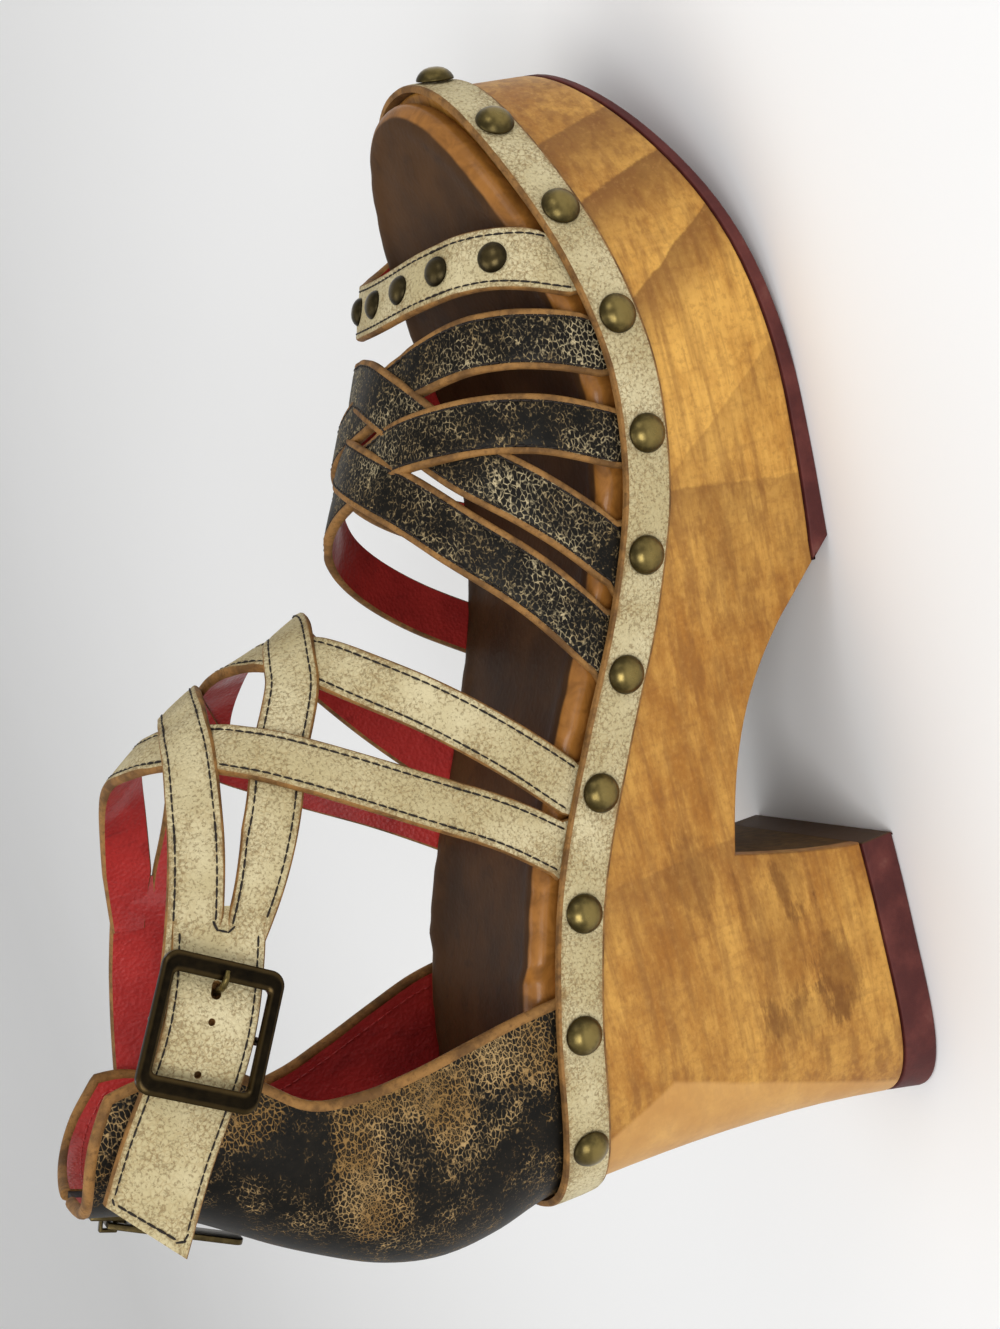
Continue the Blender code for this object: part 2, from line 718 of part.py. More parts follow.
def principled(name, colour, roughness, metallic=0.0):
    material = bpy.data.materials.new(name)
    material.use_nodes = True
    shader = material.node_tree.nodes["Principled BSDF"]
    shader.inputs["Base Color"].default_value = (*colour, 1.0)
    shader.inputs["Roughness"].default_value = roughness
    shader.inputs["Metallic"].default_value = metallic
    return material


def counter_grid():
    """Inner and outer points of the heel counter's wall, rows from the seat up."""
    plan = counter_plan()
    spans = np.linalg.norm(np.diff(plan, axis=0), axis=1)
    run = np.r_[0, np.cumsum(spans)]
    share = np.abs(run / run[-1] * 2 - 1)
    inner = []
    for row in range(COUNTER_ROWS + 1):
        rise = row / COUNTER_ROWS
        line = []
        for (x, y), part in zip(plan, share):
            low = top(cup_x(x, top(x), y)) + COUNTER_LIFT
            side = "outer" if y < 0 else "inner"
            fall = (COUNTER_TOP_FRONT[side] - COUNTER_TOP_BACK) * part ** COUNTER_TOP_BEND[side]
            high = COUNTER_TOP_BACK + fall
            z = low + (high - low) * rise
            line.append((cup_x(x, z, y), y * CUP("widen", z), z))
        inner.append(line)
    inner = np.array(inner)
    around = np.gradient(inner, axis=1)
    upward = np.gradient(inner, axis=0)
    out = np.cross(around, upward)
    out /= np.linalg.norm(out, axis=2)[:, :, None]
    if out[0, 0, 1] > 0:
        out = -out
    out[0] = out[1] * (1, 1, 0)
    out[0] /= np.linalg.norm(out[0], axis=1)[:, None]
    return inner, inner + out * COUNTER_THICK


def wall_solid(inner, outer, kept):
    """Closed wall of two matching grids, with the cells that are not kept left open."""
    bm = bmesh.new()
    rows, columns = inner.shape[:2]
    near = [[bm.verts.new(inner[r, c]) for c in range(columns)] for r in range(rows)]
    far = [[bm.verts.new(outer[r, c]) for c in range(columns)] for r in range(rows)]
    for r in range(rows - 1):
        for c in range(columns - 1):
            if not kept(r, c):
                continue
            bm.faces.new((near[r][c], near[r][c + 1], near[r + 1][c + 1], near[r + 1][c]))
            bm.faces.new((far[r][c], far[r + 1][c], far[r + 1][c + 1], far[r][c + 1]))
            edges = (
                ((r, c), (r, c + 1), (r - 1, c)),
                ((r, c + 1), (r + 1, c + 1), (r, c + 1)),
                ((r + 1, c + 1), (r + 1, c), (r + 1, c)),
                ((r + 1, c), (r, c), (r, c - 1)),
            )
            for (r1, c1), (r2, c2), (nr, nc) in edges:
                inside = 0 <= nr < rows - 1 and 0 <= nc < columns - 1
                if not inside or not kept(nr, nc):
                    bm.faces.new((near[r1][c1], far[r1][c1], far[r2][c2], near[r2][c2]))
    loose = [vert for vert in bm.verts if not vert.link_faces]
    bmesh.ops.delete(bm, geom=loose, context="VERTS")
    return bm


def make_counter():
    inner, outer = counter_grid()
    middle = np.abs(inner[:, :, 1]).argmin(axis=1)[0]

    def kept(row, column):
        in_slot = column in (middle - 1, middle)
        return not (in_slot and inner[row, middle, 2] > ZIP_SLOT_FOOT_Z)

    return finish_mesh("heel_counter", wall_solid(inner, outer, kept))


def back_frame(z):
    """Outer face of the counter's back line: point, direction down it and outward direction."""
    step = 0.5
    down = np.array([CUP("back", z - step) - CUP("back", z + step), 0.0, -2 * step])
    down /= np.linalg.norm(down)
    out = np.array([down[2], 0.0, -down[0]])
    return np.array([CUP("back", z), 0.0, z]) + out * COUNTER_THICK, down, out


def make_zip():
    """Tape and closed chain in the counter's slot."""
    tape = ZIP_SLOT_HALF - GAP
    low = -(COUNTER_THICK + ZIP_TAPE_THICK) / 2
    face = low + ZIP_TAPE_THICK
    profile = (
        (-tape, low), (tape, low), (tape, face), (ZIP_CHAIN_HALF, face),
        (ZIP_CHAIN_HALF, ZIP_CHAIN_RISE), (-ZIP_CHAIN_HALF, ZIP_CHAIN_RISE),
        (-ZIP_CHAIN_HALF, face), (-tape, face),
    )
    sections = []
    start, end = zip_span()
    for k in range(ZIP_SECTIONS + 1):
        point, _, out = back_frame(start + (end - start) * k / ZIP_SECTIONS)
        sections.append([point + out * depth + np.array([0.0, y, 0.0]) for y, depth in profile])
    return finish_mesh("zip", loft(sections))


def zip_span():
    """Heights between which the zip fills the slot."""
    inner, _ = counter_grid()
    middle = np.abs(inner[0, :, 1]).argmin()
    heights = inner[:, middle, 2]
    return heights[heights > ZIP_SLOT_FOOT_Z][0] + 2 * GAP, heights[-1] - GAP


def box_points(low, high):
    """Eight corners of a box, lower face first."""
    (x0, y0, z0), (x1, y1, z1) = low, high
    return [(x0, y0, z0), (x1, y0, z0), (x1, y1, z0), (x0, y1, z0)], [
        (x0, y0, z1), (x1, y0, z1), (x1, y1, z1), (x0, y1, z1)
    ]


def box_mesh(name, low, high):
    return finish_mesh(name, loft(box_points(low, high)))


def hinge_frame():
    """The pull's hinge on the slider: point, direction down the zip and outward direction."""
    point, down, out = back_frame(SLIDER_Z)
    height = ZIP_CHAIN_RISE + GAP + SLIDER_PLATE + BAIL_OPENING / 2
    return point + out * height, down, out


def basis(point, along, out):
    """Matrix that puts a piece's x along a direction and its z outward, at a point in millimetres."""
    along, out = Vector(along).normalized(), Vector(out).normalized()
    matrix = Matrix((along, out.cross(along), out)).transposed().to_4x4()
    matrix.translation = Vector(point) * MM
    return matrix


def pull_tilt():
    """Angle by which the counter's bulge holds the hanging pull away from the zip's own line."""
    hinge, down, out = hinge_frame()
    steepest = 0.0
    for k in range(1, 30):
        outer = back_frame(SLIDER_Z - 1.2 * k)[0] - hinge
        reach = float(np.dot(outer, down))
        if reach < PULL_LENGTH:
            height = float(np.dot(outer, out)) + PULL_THICK / 2 + PULL_CLEARANCE + ZIP_CHAIN_RISE
            steepest = max(steepest, math.atan2(height, reach))
    return steepest


def make_slider(parent, material):
    """Plate on the chain with an arched bail for the pull."""
    floor = -BAIL_OPENING / 2
    length, width = SLIDER_LENGTH / 2, SLIDER_WIDTH / 2
    plate_mesh = box_mesh("zip_slider", (-length, -width, floor - SLIDER_PLATE), (length, width, floor))
    slider = new_object("zip_slider", plate_mesh, material, parent)
    arch = BAIL_OPENING / 2 + BAIL_BAR
    low, high = (-arch, -BAIL_WIDTH / 2, floor - SLIDER_PLATE / 2), (arch, BAIL_WIDTH / 2, arch)
    bail = cutter("bail", box_mesh("bail", low, high), parent)
    clear = BAIL_OPENING / 2
    opening = box_mesh("bail_opening", (-clear, -width, -clear), (clear, width, clear))
    hole = cutter("bail_opening", opening, parent)
    boolean(bail, hole, "DIFFERENCE")
    boolean(slider, bail, "UNION")
    hinge, down, out = hinge_frame()
    for piece in (slider, bail, hole):
        piece.matrix_basis = basis(hinge, down, out)


def make_pull(parent, material):
    """Flat tab whose eye hangs on the bail; its origin is on the hinge."""
    half, thick = PULL_WIDTH / 2, PULL_THICK / 2
    shoulder = PULL_LENGTH - PULL_CORNER
    outline = [(-thick, -half)]
    for k in range(5):
        turn = math.pi / 8 * k
        rounded = (shoulder + PULL_CORNER * math.sin(turn), -half + PULL_CORNER * (1 - math.cos(turn)))
        outline.append(rounded)
    outline += [(x, -y) for x, y in reversed(outline)]
    sections = [[(x, y, z) for x, y in outline] for z in (-thick, thick)]
    pull = new_object("zip_pull", finish_mesh("zip_pull", loft(sections)), material, parent)
    eye_low = (thick, -PULL_EYE_WIDTH / 2, -PULL_WIDTH)
    eye_high = (thick + PULL_EYE_LENGTH, PULL_EYE_WIDTH / 2, PULL_WIDTH)
    eye = cutter("pull_eye", box_mesh("pull_eye", eye_low, eye_high), parent)
    boolean(pull, eye, "DIFFERENCE")
    hinge, down, out = hinge_frame()
    tilt = pull_tilt()
    hang = down * math.cos(tilt) + out * math.sin(tilt)
    face = out * math.cos(tilt) - down * math.sin(tilt)
    for piece in (pull, eye):
        piece.matrix_basis = basis(hinge, hang, face)


def rounded_rectangle(length, width, radius, steps=3):
    points = []
    for corner in range(4):
        sx, sy = ((1, 1), (-1, 1), (-1, -1), (1, -1))[corner]
        for k in range(steps + 1):
            angle = math.pi / 2 * (corner + k / steps)
            x = sx * (length / 2 - radius) + radius * math.cos(angle)
            y = sy * (width / 2 - radius) + radius * math.sin(angle)
            points.append((x, y))
    return points


def buckle_basis(strap):
    """The buckle lies over the strap: its x runs to the fork, its middle is on the middle bar."""
    point, out, across = strap.crosswise(strap.distance_at(BUCKLE_ANGLE))
    base = np.array(last_point(strap.route("station", BUCKLE_ANGLE), BUCKLE_ANGLE))
    along = np.cross(across / np.linalg.norm(across), out)
    return basis(base, along, out)


def make_buckle(parent, material, strap):
    """Frame with a dropped middle bar under the strap."""
    outer = rounded_rectangle(BUCKLE_LENGTH, BUCKLE_WIDTH, BUCKLE_CORNER)
    hole_length, hole_width = BUCKLE_LENGTH - 2 * BUCKLE_END_BAR, BUCKLE_WIDTH - 2 * BUCKLE_SIDE_BAR
    inner = rounded_rectangle(hole_length, hole_width, BUCKLE_CORNER / 3)
    half = BUCKLE_THICK / 2
    crown, inset = half + BUCKLE_CROWN, BUCKLE_CROWN_INSET
    profile = ((0, -half), (1, -half), (1, half), (1 - inset, crown), (inset, crown), (0, half))
    middle = (BUCKLE_FORK_LIFT + BUCKLE_TIP_LIFT) / 2
    tilt = (BUCKLE_FORK_LIFT - BUCKLE_TIP_LIFT) / (BUCKLE_LENGTH - BUCKLE_END_BAR)
    sections = []
    for (ox, oy), (ix, iy) in zip(outer, inner):
        loop = []
        for share, height in profile:
            x, y = ix + (ox - ix) * share, iy + (oy - iy) * share
            loop.append((x, y, middle + height + tilt * x))
        sections.append(loop)
    frame_mesh = finish_mesh("buckle_frame", loft(sections, looped=True))
    frame = new_object("buckle_frame", frame_mesh, material, parent)
    ear = (hole_width + BUCKLE_SIDE_BAR) / 2
    bar_low, bar_high = MIDDLE_BAR_LIFT - MIDDLE_BAR / 2, MIDDLE_BAR_LIFT + MIDDLE_BAR / 2
    half_ear = BUCKLE_SIDE_BAR / 2 - GAP / 2
    bar = box_mesh(
        "middle_bar", (-MIDDLE_BAR / 2, -ear - half_ear, bar_low), (MIDDLE_BAR / 2, ear + half_ear, middle)
    )
    gap_low = (-MIDDLE_BAR, -ear + half_ear, bar_high)
    gap_high = (MIDDLE_BAR, ear - half_ear, middle + MIDDLE_BAR)
    pieces = [frame]
    pieces.append(cutter("middle_bar", bar, parent))
    pieces.append(cutter("strap_room", box_mesh("strap_room", gap_low, gap_high), parent))
    boolean(pieces[1], pieces[2], "DIFFERENCE")
    boolean(frame, pieces[1], "UNION")
    for piece in pieces:
        piece.matrix_basis = buckle_basis(strap)


def make_prong(parent, material, strap):
    """Bent wire from the middle bar, up through the strap and onto the fork side's bar."""
    path = np.array(PRONG_PATH)
    heading = np.gradient(path, axis=0)
    heading /= np.linalg.norm(heading, axis=1)[:, None]
    sections = []
    for (x, z), (hx, hz) in zip(path, heading):
        loop = []
        for k in range(PRONG_SIDES):
            turn = 2 * math.pi * k / PRONG_SIDES
            rise = PRONG_DIAMETER / 2 * math.sin(turn)
            loop.append((x - hz * rise, PRONG_DIAMETER / 2 * math.cos(turn), z + hx * rise))
        sections.append(loop)
    prong = new_object("buckle_prong", finish_mesh("buckle_prong", loft(sections)), material, parent)
    prong.matrix_basis = buckle_basis(strap)


def prong_hole(parent, strap):
    low = (PRONG_HOLE[0], -PRONG_HOLE_WIDTH / 2, -BUCKLE_WIDTH)
    high = (PRONG_HOLE[1], PRONG_HOLE_WIDTH / 2, BUCKLE_WIDTH)
    hole = cutter("prong_hole", box_mesh("prong_hole", low, high), parent)
    hole.matrix_basis = buckle_basis(strap)
    return hole


def centre_on_footprint(sandal):
    """Move the carrying empty so that the origin is under the middle of the shoe, on the floor."""
    bpy.context.view_layer.update()
    corners = []
    for piece in sandal.children:
        if not piece.hide_render:
            corners += [piece.matrix_world @ vert.co for vert in piece.data.vertices]
    low = [min(corner[i] for corner in corners) for i in range(3)]
    high = [max(corner[i] for corner in corners) for i in range(3)]
    sandal.location = (-(low[0] + high[0]) / 2, -(low[1] + high[1]) / 2, -low[2])


def build():
    for old in list(bpy.data.objects):
        bpy.data.objects.remove(old, do_unlink=True)
    sandal = bpy.data.objects.new("sandal", None)
    bpy.context.collection.objects.link(sandal)

    wood = principled("stained_wood", (0.42, 0.22, 0.08), 0.45)
    rubber = principled("burgundy_rubber", (0.13, 0.02, 0.025), 0.55)
    sock = principled("brown_leather", (0.16, 0.09, 0.06), 0.5)
    cream = principled("cream_leather", (0.66, 0.60, 0.47), 0.6)
    black = principled("black_leather", (0.05, 0.045, 0.04), 0.55)
    brass = principled("antique_brass", (0.25, 0.2, 0.11), 0.35, 1.0)

    new_object("wood_sole", make_wood(), wood, sandal)
    new_object("forefoot_tread", make_tread(), rubber, sandal)
    new_object("heel_lift", make_lift(), rubber, sandal)
    footbed = new_object("footbed", make_footbed(), sock, sandal)
    new_object("rand", make_rand(), cream, sandal)

    stud_mesh = dome_mesh("rand_stud", RAND_STUD_DIAMETER, RAND_STUD_RISE)
    for k, (point, out) in enumerate(rand_stud_places(), 1):
        place_stud(f"rand_stud_{k:02d}", stud_mesh, brass, sandal, point, out)

    toe = Strap(TOE_ROUTE, TOE_STRAP_WIDTH)
    new_object("toe_strap", finish_mesh("toe_strap", toe.solid()), cream, sandal)
    toe_stud = dome_mesh("toe_strap_stud", TOE_STUD_DIAMETER, TOE_STUD_RISE, sides=8)
    first = toe.distance_at(TOE_STUD_FIRST_ANGLE)
    for k in range(TOE_STUD_COUNT):
        point, out, _ = toe.crosswise(first + TOE_STUD_PITCH * k)
        seat = point + out * (STRAP_THICK + TOE_STUD_LIFT)
        place_stud(f"toe_strap_stud_{k + 1}", toe_stud, brass, sandal, seat, out)

    vamp = {key: Strap(route, VAMP_STRAP_WIDTH) for key, route in VAMP_ROUTES.items()}
    instep = {
        "E": Strap(INSTEP_ROUTES["E"], INSTEP_STRAP_WIDTH, (True, False)),
        "F": Strap(INSTEP_ROUTES["F"], INSTEP_STRAP_WIDTH, (True, False)),
        "G": Strap(INSTEP_ROUTES["G"], INSTEP_STRAP_WIDTH, (False, True)),
        "H": Strap(INSTEP_ROUTES["H"], INSTEP_STRAP_WIDTH, (False, True)),
    }
    for name, straps, material in (("vamp_straps", vamp, black), ("instep_straps", instep, cream)):
        pieces = []
        for key, strap in straps.items():
            pieces.append((key, finish_mesh(f"{name}_{key}", strap.solid())))
        lattice = new_object(name, pieces[0][1], material, sandal)
        for key, mesh in pieces[1:]:
            boolean(lattice, cutter(f"strip_{key}", mesh, sandal), "UNION")
    lattice = bpy.data.objects["instep_straps"]
    buckle_end = Strap(BUCKLE_ROUTE, BUCKLE_STRAP_WIDTH, (False, False), step=3.5, slant=TIP_SLANT)
    inner_end = Strap(INNER_ROUTE, FORK_STRAP_WIDTH, (False, False), step=4.0)
    for key, end in (("buckle_end", buckle_end), ("inner_end", inner_end)):
        mesh = finish_mesh(key, end.solid(thick=DOUBLED_THICK))
        boolean(lattice, cutter(key, mesh, sandal), "UNION")
    boolean(lattice, prong_hole(sandal, buckle_end), "DIFFERENCE")
    make_buckle(sandal, brass, buckle_end)
    make_prong(sandal, brass, buckle_end)

    new_object("heel_counter", make_counter(), black, sandal)
    new_object("zip", make_zip(), black, sandal)
    make_slider(sandal, brass)
    make_pull(sandal, brass)
    for key, strap in [("toe", toe), *vamp.items(), *instep.items()]:
        ends = (("outer", 0, NOTCH_SECTIONS), ("inner", -NOTCH_SECTIONS, None))
        for tail, (side, first, last) in zip(strap.tails, ends):
            if tail:
                name = f"notch_{key}_{side}"
                solid = strap.solid(first, last, grow=NOTCH_CLEARANCE, thick=STRAP_THICK + STRAP_INSET)
                mesh = finish_mesh(name, solid)
                boolean(footbed, cutter(name, mesh, sandal), "DIFFERENCE")
    centre_on_footprint(sandal)


build()
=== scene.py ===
# %% [markdown]
# # A wooden platform sandal, dressed for its picture
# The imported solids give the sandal's true shape. This lesson dresses them: it loads them as a fixed frame,
# rebuilds each piece a little finer on the same curves, and gives wood, leather, rubber and brass their
# finish. The pieces are worked out again from the maker's own tables, because a strap that is measured
# along its route can carry stitches, raw edges and a lining, which a plain solid can't.

# %% Load the packed sandal
import math

import bmesh
import bpy
import numpy as np
from mathutils import Matrix, Vector


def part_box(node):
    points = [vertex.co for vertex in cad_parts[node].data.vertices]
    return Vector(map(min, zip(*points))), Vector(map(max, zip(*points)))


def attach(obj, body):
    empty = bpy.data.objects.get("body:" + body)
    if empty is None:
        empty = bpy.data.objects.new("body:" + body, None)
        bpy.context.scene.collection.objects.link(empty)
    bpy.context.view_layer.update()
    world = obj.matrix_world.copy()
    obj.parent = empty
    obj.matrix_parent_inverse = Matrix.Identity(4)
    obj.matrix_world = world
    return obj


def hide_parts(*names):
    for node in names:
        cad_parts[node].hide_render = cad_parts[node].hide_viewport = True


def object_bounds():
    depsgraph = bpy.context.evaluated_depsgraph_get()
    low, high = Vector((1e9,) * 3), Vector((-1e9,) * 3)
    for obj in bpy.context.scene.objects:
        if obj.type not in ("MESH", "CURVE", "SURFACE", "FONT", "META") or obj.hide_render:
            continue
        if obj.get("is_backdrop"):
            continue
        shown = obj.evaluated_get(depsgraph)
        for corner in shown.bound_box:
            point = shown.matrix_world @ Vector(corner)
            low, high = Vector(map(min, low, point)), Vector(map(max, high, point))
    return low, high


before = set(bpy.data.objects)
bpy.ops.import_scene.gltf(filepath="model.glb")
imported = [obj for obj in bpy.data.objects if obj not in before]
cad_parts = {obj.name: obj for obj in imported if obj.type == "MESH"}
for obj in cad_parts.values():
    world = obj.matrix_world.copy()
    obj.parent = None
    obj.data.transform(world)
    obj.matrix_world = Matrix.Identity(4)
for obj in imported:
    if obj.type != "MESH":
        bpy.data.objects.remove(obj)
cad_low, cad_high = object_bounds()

MM = 0.001
SHOE = "shoe"


def new_object(name, data):
    """An object with this data, in the scene."""
    made = bpy.data.objects.new(name, data)
    bpy.context.scene.collection.objects.link(made)
    return made


print("loaded", len(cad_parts), "solids,", [round(side / MM) for side in cad_high - cad_low], "mm")

# %% [markdown]
# ## Camera
# The picture was taken from the outer side, a little above the sole, with the camera turned so that the toe
# points up. A photograph keeps its look when the camera stays where it stood, so the camera stands at that
# point and only turns and zooms until the one shoe fills the frame. The turn and the zoom come from the
# solids' own corners, seen along the camera's axes.

# %% Place the camera
IMAGE_WIDTH, IMAGE_HEIGHT = 1000, 1329
SENSOR = 36.0
FILL = 0.9
AIM_TURNS = 6
STOOD_AT = Vector((0.0413, -0.4021, 0.2272))
LOOKED_ALONG = Vector((-0.010, 0.986, -0.165))
TOE_IS_UP = Vector((0.961, -0.037, -0.275))

corners = []
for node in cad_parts.values():
    corners += [vert.co.copy() for vert in node.data.vertices]


def camera_axes(direction, upward):
    """Right, up and back directions of a camera that looks along a direction."""
    back = -direction.normalized()
    right = upward.cross(back).normalized()
    return right, back.cross(right), back


def seen_span(axes):
    """Lowest and highest slope to the right and up at which the solids are seen."""
    right, up, back = axes
    slopes = []
    for corner in corners:
        ray = corner - STOOD_AT
        slopes.append((ray.dot(right) / -ray.dot(back), ray.dot(up) / -ray.dot(back)))
    slopes = np.array(slopes)
    return slopes.min(axis=0), slopes.max(axis=0)


direction = LOOKED_ALONG
for _ in range(AIM_TURNS):
    axes = camera_axes(direction, TOE_IS_UP)
    low, high = seen_span(axes)
    middle = (low + high) / 2
    direction = -axes[2] + axes[0] * float(middle[0]) + axes[1] * float(middle[1])
axes = camera_axes(direction, TOE_IS_UP)
low, high = seen_span(axes)
zoom = FILL * min(IMAGE_WIDTH / (high[0] - low[0]), IMAGE_HEIGHT / (high[1] - low[1]))
camera = new_object("camera", bpy.data.cameras.new("camera"))
camera.data.sensor_width = SENSOR
camera.data.lens = SENSOR * zoom / IMAGE_HEIGHT
camera.data.clip_start = 0.01
camera.matrix_world = Matrix((axes[0], axes[1], axes[2])).transposed().to_4x4()
camera.location = STOOD_AT
bpy.context.scene.camera = camera
filled = [round(float(side) * zoom) for side in high - low]
print("camera lens", round(camera.data.lens, 1), "mm, frame filled", filled)

# %% [markdown]
# ## Floor and light
# A pale floor that curves up far behind the shoe leaves no horizon in the picture. The light is a soft
# studio set: a large panel near the camera for the even front light, one above the instep that draws a
# highlight along the leather, and a white sky that fills the shadows.

# %% Lay the floor
FLOOR_HALF = 3.0
SWEEP_RADIUS = 1.2
SWEEP_STEPS = 16


def sweep_profile():
    """Line from the front of the floor to the top of the backdrop, as y and z."""
    line = [(-FLOOR_HALF, 0.0)]
    for k in range(SWEEP_STEPS + 1):
        turn = math.pi / 2 * k / SWEEP_STEPS
        line.append((FLOOR_HALF - SWEEP_RADIUS + SWEEP_RADIUS * math.sin(turn),
                     SWEEP_RADIUS - SWEEP_RADIUS * math.cos(turn)))
    line.append((FLOOR_HALF, 2 * FLOOR_HALF))
    return line


profile = sweep_profile()
floor_mesh = bpy.data.meshes.new("floor")
floor_points = [(side * FLOOR_HALF, y, z) for y, z in profile for side in (-1, 1)]
floor_faces = [(2 * k, 2 * k + 1, 2 * k + 3, 2 * k + 2) for k in range(len(profile) - 1)]
floor_mesh.from_pydata(floor_points, [], floor_faces)
floor_mesh.shade_smooth()
floor = new_object("floor", floor_mesh)
floor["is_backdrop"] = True
print("floor with", len(floor_faces), "strips")

# %% Hang the lights
SKY_STRENGTH = 0.52
PANELS = {
    "front_panel": ((-0.30, -1.1, 0.75), 0.7, 8.5),
    "top_panel": ((-0.15, 0.1, 1.2), 0.8, 3.6),
    "toe_panel": ((1.0, -0.7, 0.6), 0.6, 2.0),
}


def hang_panel(name, place, size, watts):
    """A square soft light that faces the shoe."""
    light = bpy.data.lights.new(name, "AREA")
    light.size = size
    light.energy = watts
    panel = new_object(name, light)
    panel.location = place
    panel.rotation_mode = "QUATERNION"
    towards = (cad_low + cad_high) / 2 - Vector(place)
    panel.rotation_quaternion = towards.to_track_quat("-Z", "Y")


for name, (place, size, watts) in PANELS.items():
    hang_panel(name, place, size, watts)
sky = bpy.data.worlds.new("sky")
sky.use_nodes = True
sky.node_tree.nodes["Background"].inputs["Color"].default_value = (1.0, 1.0, 1.0, 1.0)
sky.node_tree.nodes["Background"].inputs["Strength"].default_value = SKY_STRENGTH
bpy.context.scene.world = sky
bpy.context.scene.view_settings.view_transform = "Standard"
print("lights", list(PANELS))

# %% [markdown]
# ## Sums for finishes
# A finish is a tree of small nodes. Writing it as Python sums keeps it readable: one class wraps a socket,
# so that `1 - mask` or `0.3 + 0.2 * grain` adds its Math nodes by itself. Its node method adds any other
# node, settings first, then the values or links of its sockets, and the rest are short names for such nodes.

# %% Wrap a socket


class Value:
    """A socket of a node tree that can stand in a Python sum."""

    def __init__(self, tree, socket):
        self.tree = tree
        self.socket = socket

    def node(self, kind, settings, inputs, output=0):
        """Any node: its settings are set first, then the values or links of its sockets."""
        made = self.tree.nodes.new(kind)
        for name, setting in settings.items():
            setattr(made, name, setting)
        for name, value in inputs.items():
            if isinstance(value, Value):
                self.tree.links.new(value.socket, made.inputs[name])
            else:
                made.inputs[name].default_value = value
        return Value(self.tree, made.outputs[output])

    def maths(self, operation, first, second):
        return self.node("ShaderNodeMath", {"operation": operation}, {0: first, 1: second})

    def __add__(self, other):
        return self.maths("ADD", self, other)

    __radd__ = __add__

    def __sub__(self, other):
        return self.maths("SUBTRACT", self, other)

    def __rsub__(self, other):
        return self.maths("SUBTRACT", other, self)

    def __mul__(self, other):
        return self.maths("MULTIPLY", self, other)

    __rmul__ = __mul__

    def vector(self, operation, first, second, output=0):
        return self.node("ShaderNodeVectorMath", {"operation": operation}, {0: first, 1: second}, output)

    def bent(self, scale, reach):
        """The place pushed about by clouds, so many to the metre, by about so many millimetres."""
        clouds = self.node("ShaderNodeTexNoise", {}, {"Vector": self, "Scale": scale}, output="Color")
        return self.vector("ADD", self, self.vector("MULTIPLY", clouds, (reach * MM, reach * MM, reach * MM)))

    def noise(self, scale, detail=3.0, roughness=0.55, stretch=(1, 1, 1), distortion=0.0):
        """Soft clouds, so many to the metre, drawn out along the axes that are not 1."""
        place = self.node("ShaderNodeMapping", {}, {"Vector": self, "Scale": stretch})
        inputs = {"Vector": place, "Scale": scale, "Detail": detail, "Roughness": roughness,
                  "Distortion": distortion}
        return self.node("ShaderNodeTexNoise", {}, inputs)

    def cells(self, scale, feature="F1", randomness=1.0):
        """Distance pattern of scattered cells, so many to the metre."""
        inputs = {"Vector": self, "Scale": scale, "Randomness": randomness}
        return self.node("ShaderNodeTexVoronoi", {"feature": feature}, inputs)

    def step(self, low, high):
        """0 below one value, 1 above the other and a soft rise between."""
        inputs = {"Value": self, "From Min": low, "From Max": high}
        return self.node("ShaderNodeMapRange", {"interpolation_type": "SMOOTHSTEP"}, inputs)

    def paint(self, under, over):
        """Colour under where this value is 0, over where it is 1."""
        inputs = {0: self, 6: under, 7: over}
        return self.node("ShaderNodeMix", {"data_type": "RGBA"}, inputs, output=2)

    def spot(self, centre, radii, fray=0.0):
        """1 at a point given in millimetres, fading to 0 at these radii, with a frayed rim."""
        middle = tuple(v * MM for v in centre)
        away = self.vector("SUBTRACT", self, middle)
        away = self.vector("MULTIPLY", away, tuple(1 / (r * MM) for r in radii))
        reach = self.vector("LENGTH", away, middle, output="Value")
        return 1 - (reach + fray).step(0.45, 1.0)

    def attribute(self, name):
        """Number that the mesh carries at each point."""
        return self.node("ShaderNodeAttribute", {"attribute_name": name}, {}, output="Fac")

    def axis(self, name):
        return self.node("ShaderNodeSeparateXYZ", {}, {0: self}, output=name)


def colour(red, green, blue):
    """Colour picked as screen values from 0 to 255, as light values."""
    shares = [v / 255 for v in (red, green, blue)]
    return (*[s / 12.92 if s <= 0.04045 else ((s + 0.055) / 1.055) ** 2.4 for s in shares], 1.0)


def new_finish(name):
    """A material, its shader and the place on the object where a point of it lies."""
    material = bpy.data.materials.new(name)
    material.use_nodes = True
    tree = material.node_tree
    place = Value(tree, tree.nodes.new("ShaderNodeTexCoord").outputs["Object"])
    return material, tree.nodes["Principled BSDF"], place


def coat(shader, height=None, depth=0.0, **looks):
    """Set a shader's sockets to values or links, with a bump of so many millimetres."""
    tree = shader.id_data
    if height:
        inputs = {"Height": height, "Distance": depth * MM, "Strength": 1.0}
        looks["Normal"] = height.node("ShaderNodeBump", {}, inputs)
    for name, value in looks.items():
        socket = shader.inputs[name.replace("_", " ")]
        if isinstance(value, Value):
            tree.links.new(value.socket, socket)
        else:
            socket.default_value = value


print("finish sums ready")

# %% Floor finish
floor_finish, shader, place = new_finish("pale_floor")
mottle = place.noise(3.0)
pale = mottle.paint(colour(246, 246, 245), colour(250, 250, 250))
coat(shader, Base_Color=pale, Roughness=0.75 + 0.1 * mottle)
floor_mesh.materials.append(floor_finish)
print("finish", floor_finish.name)

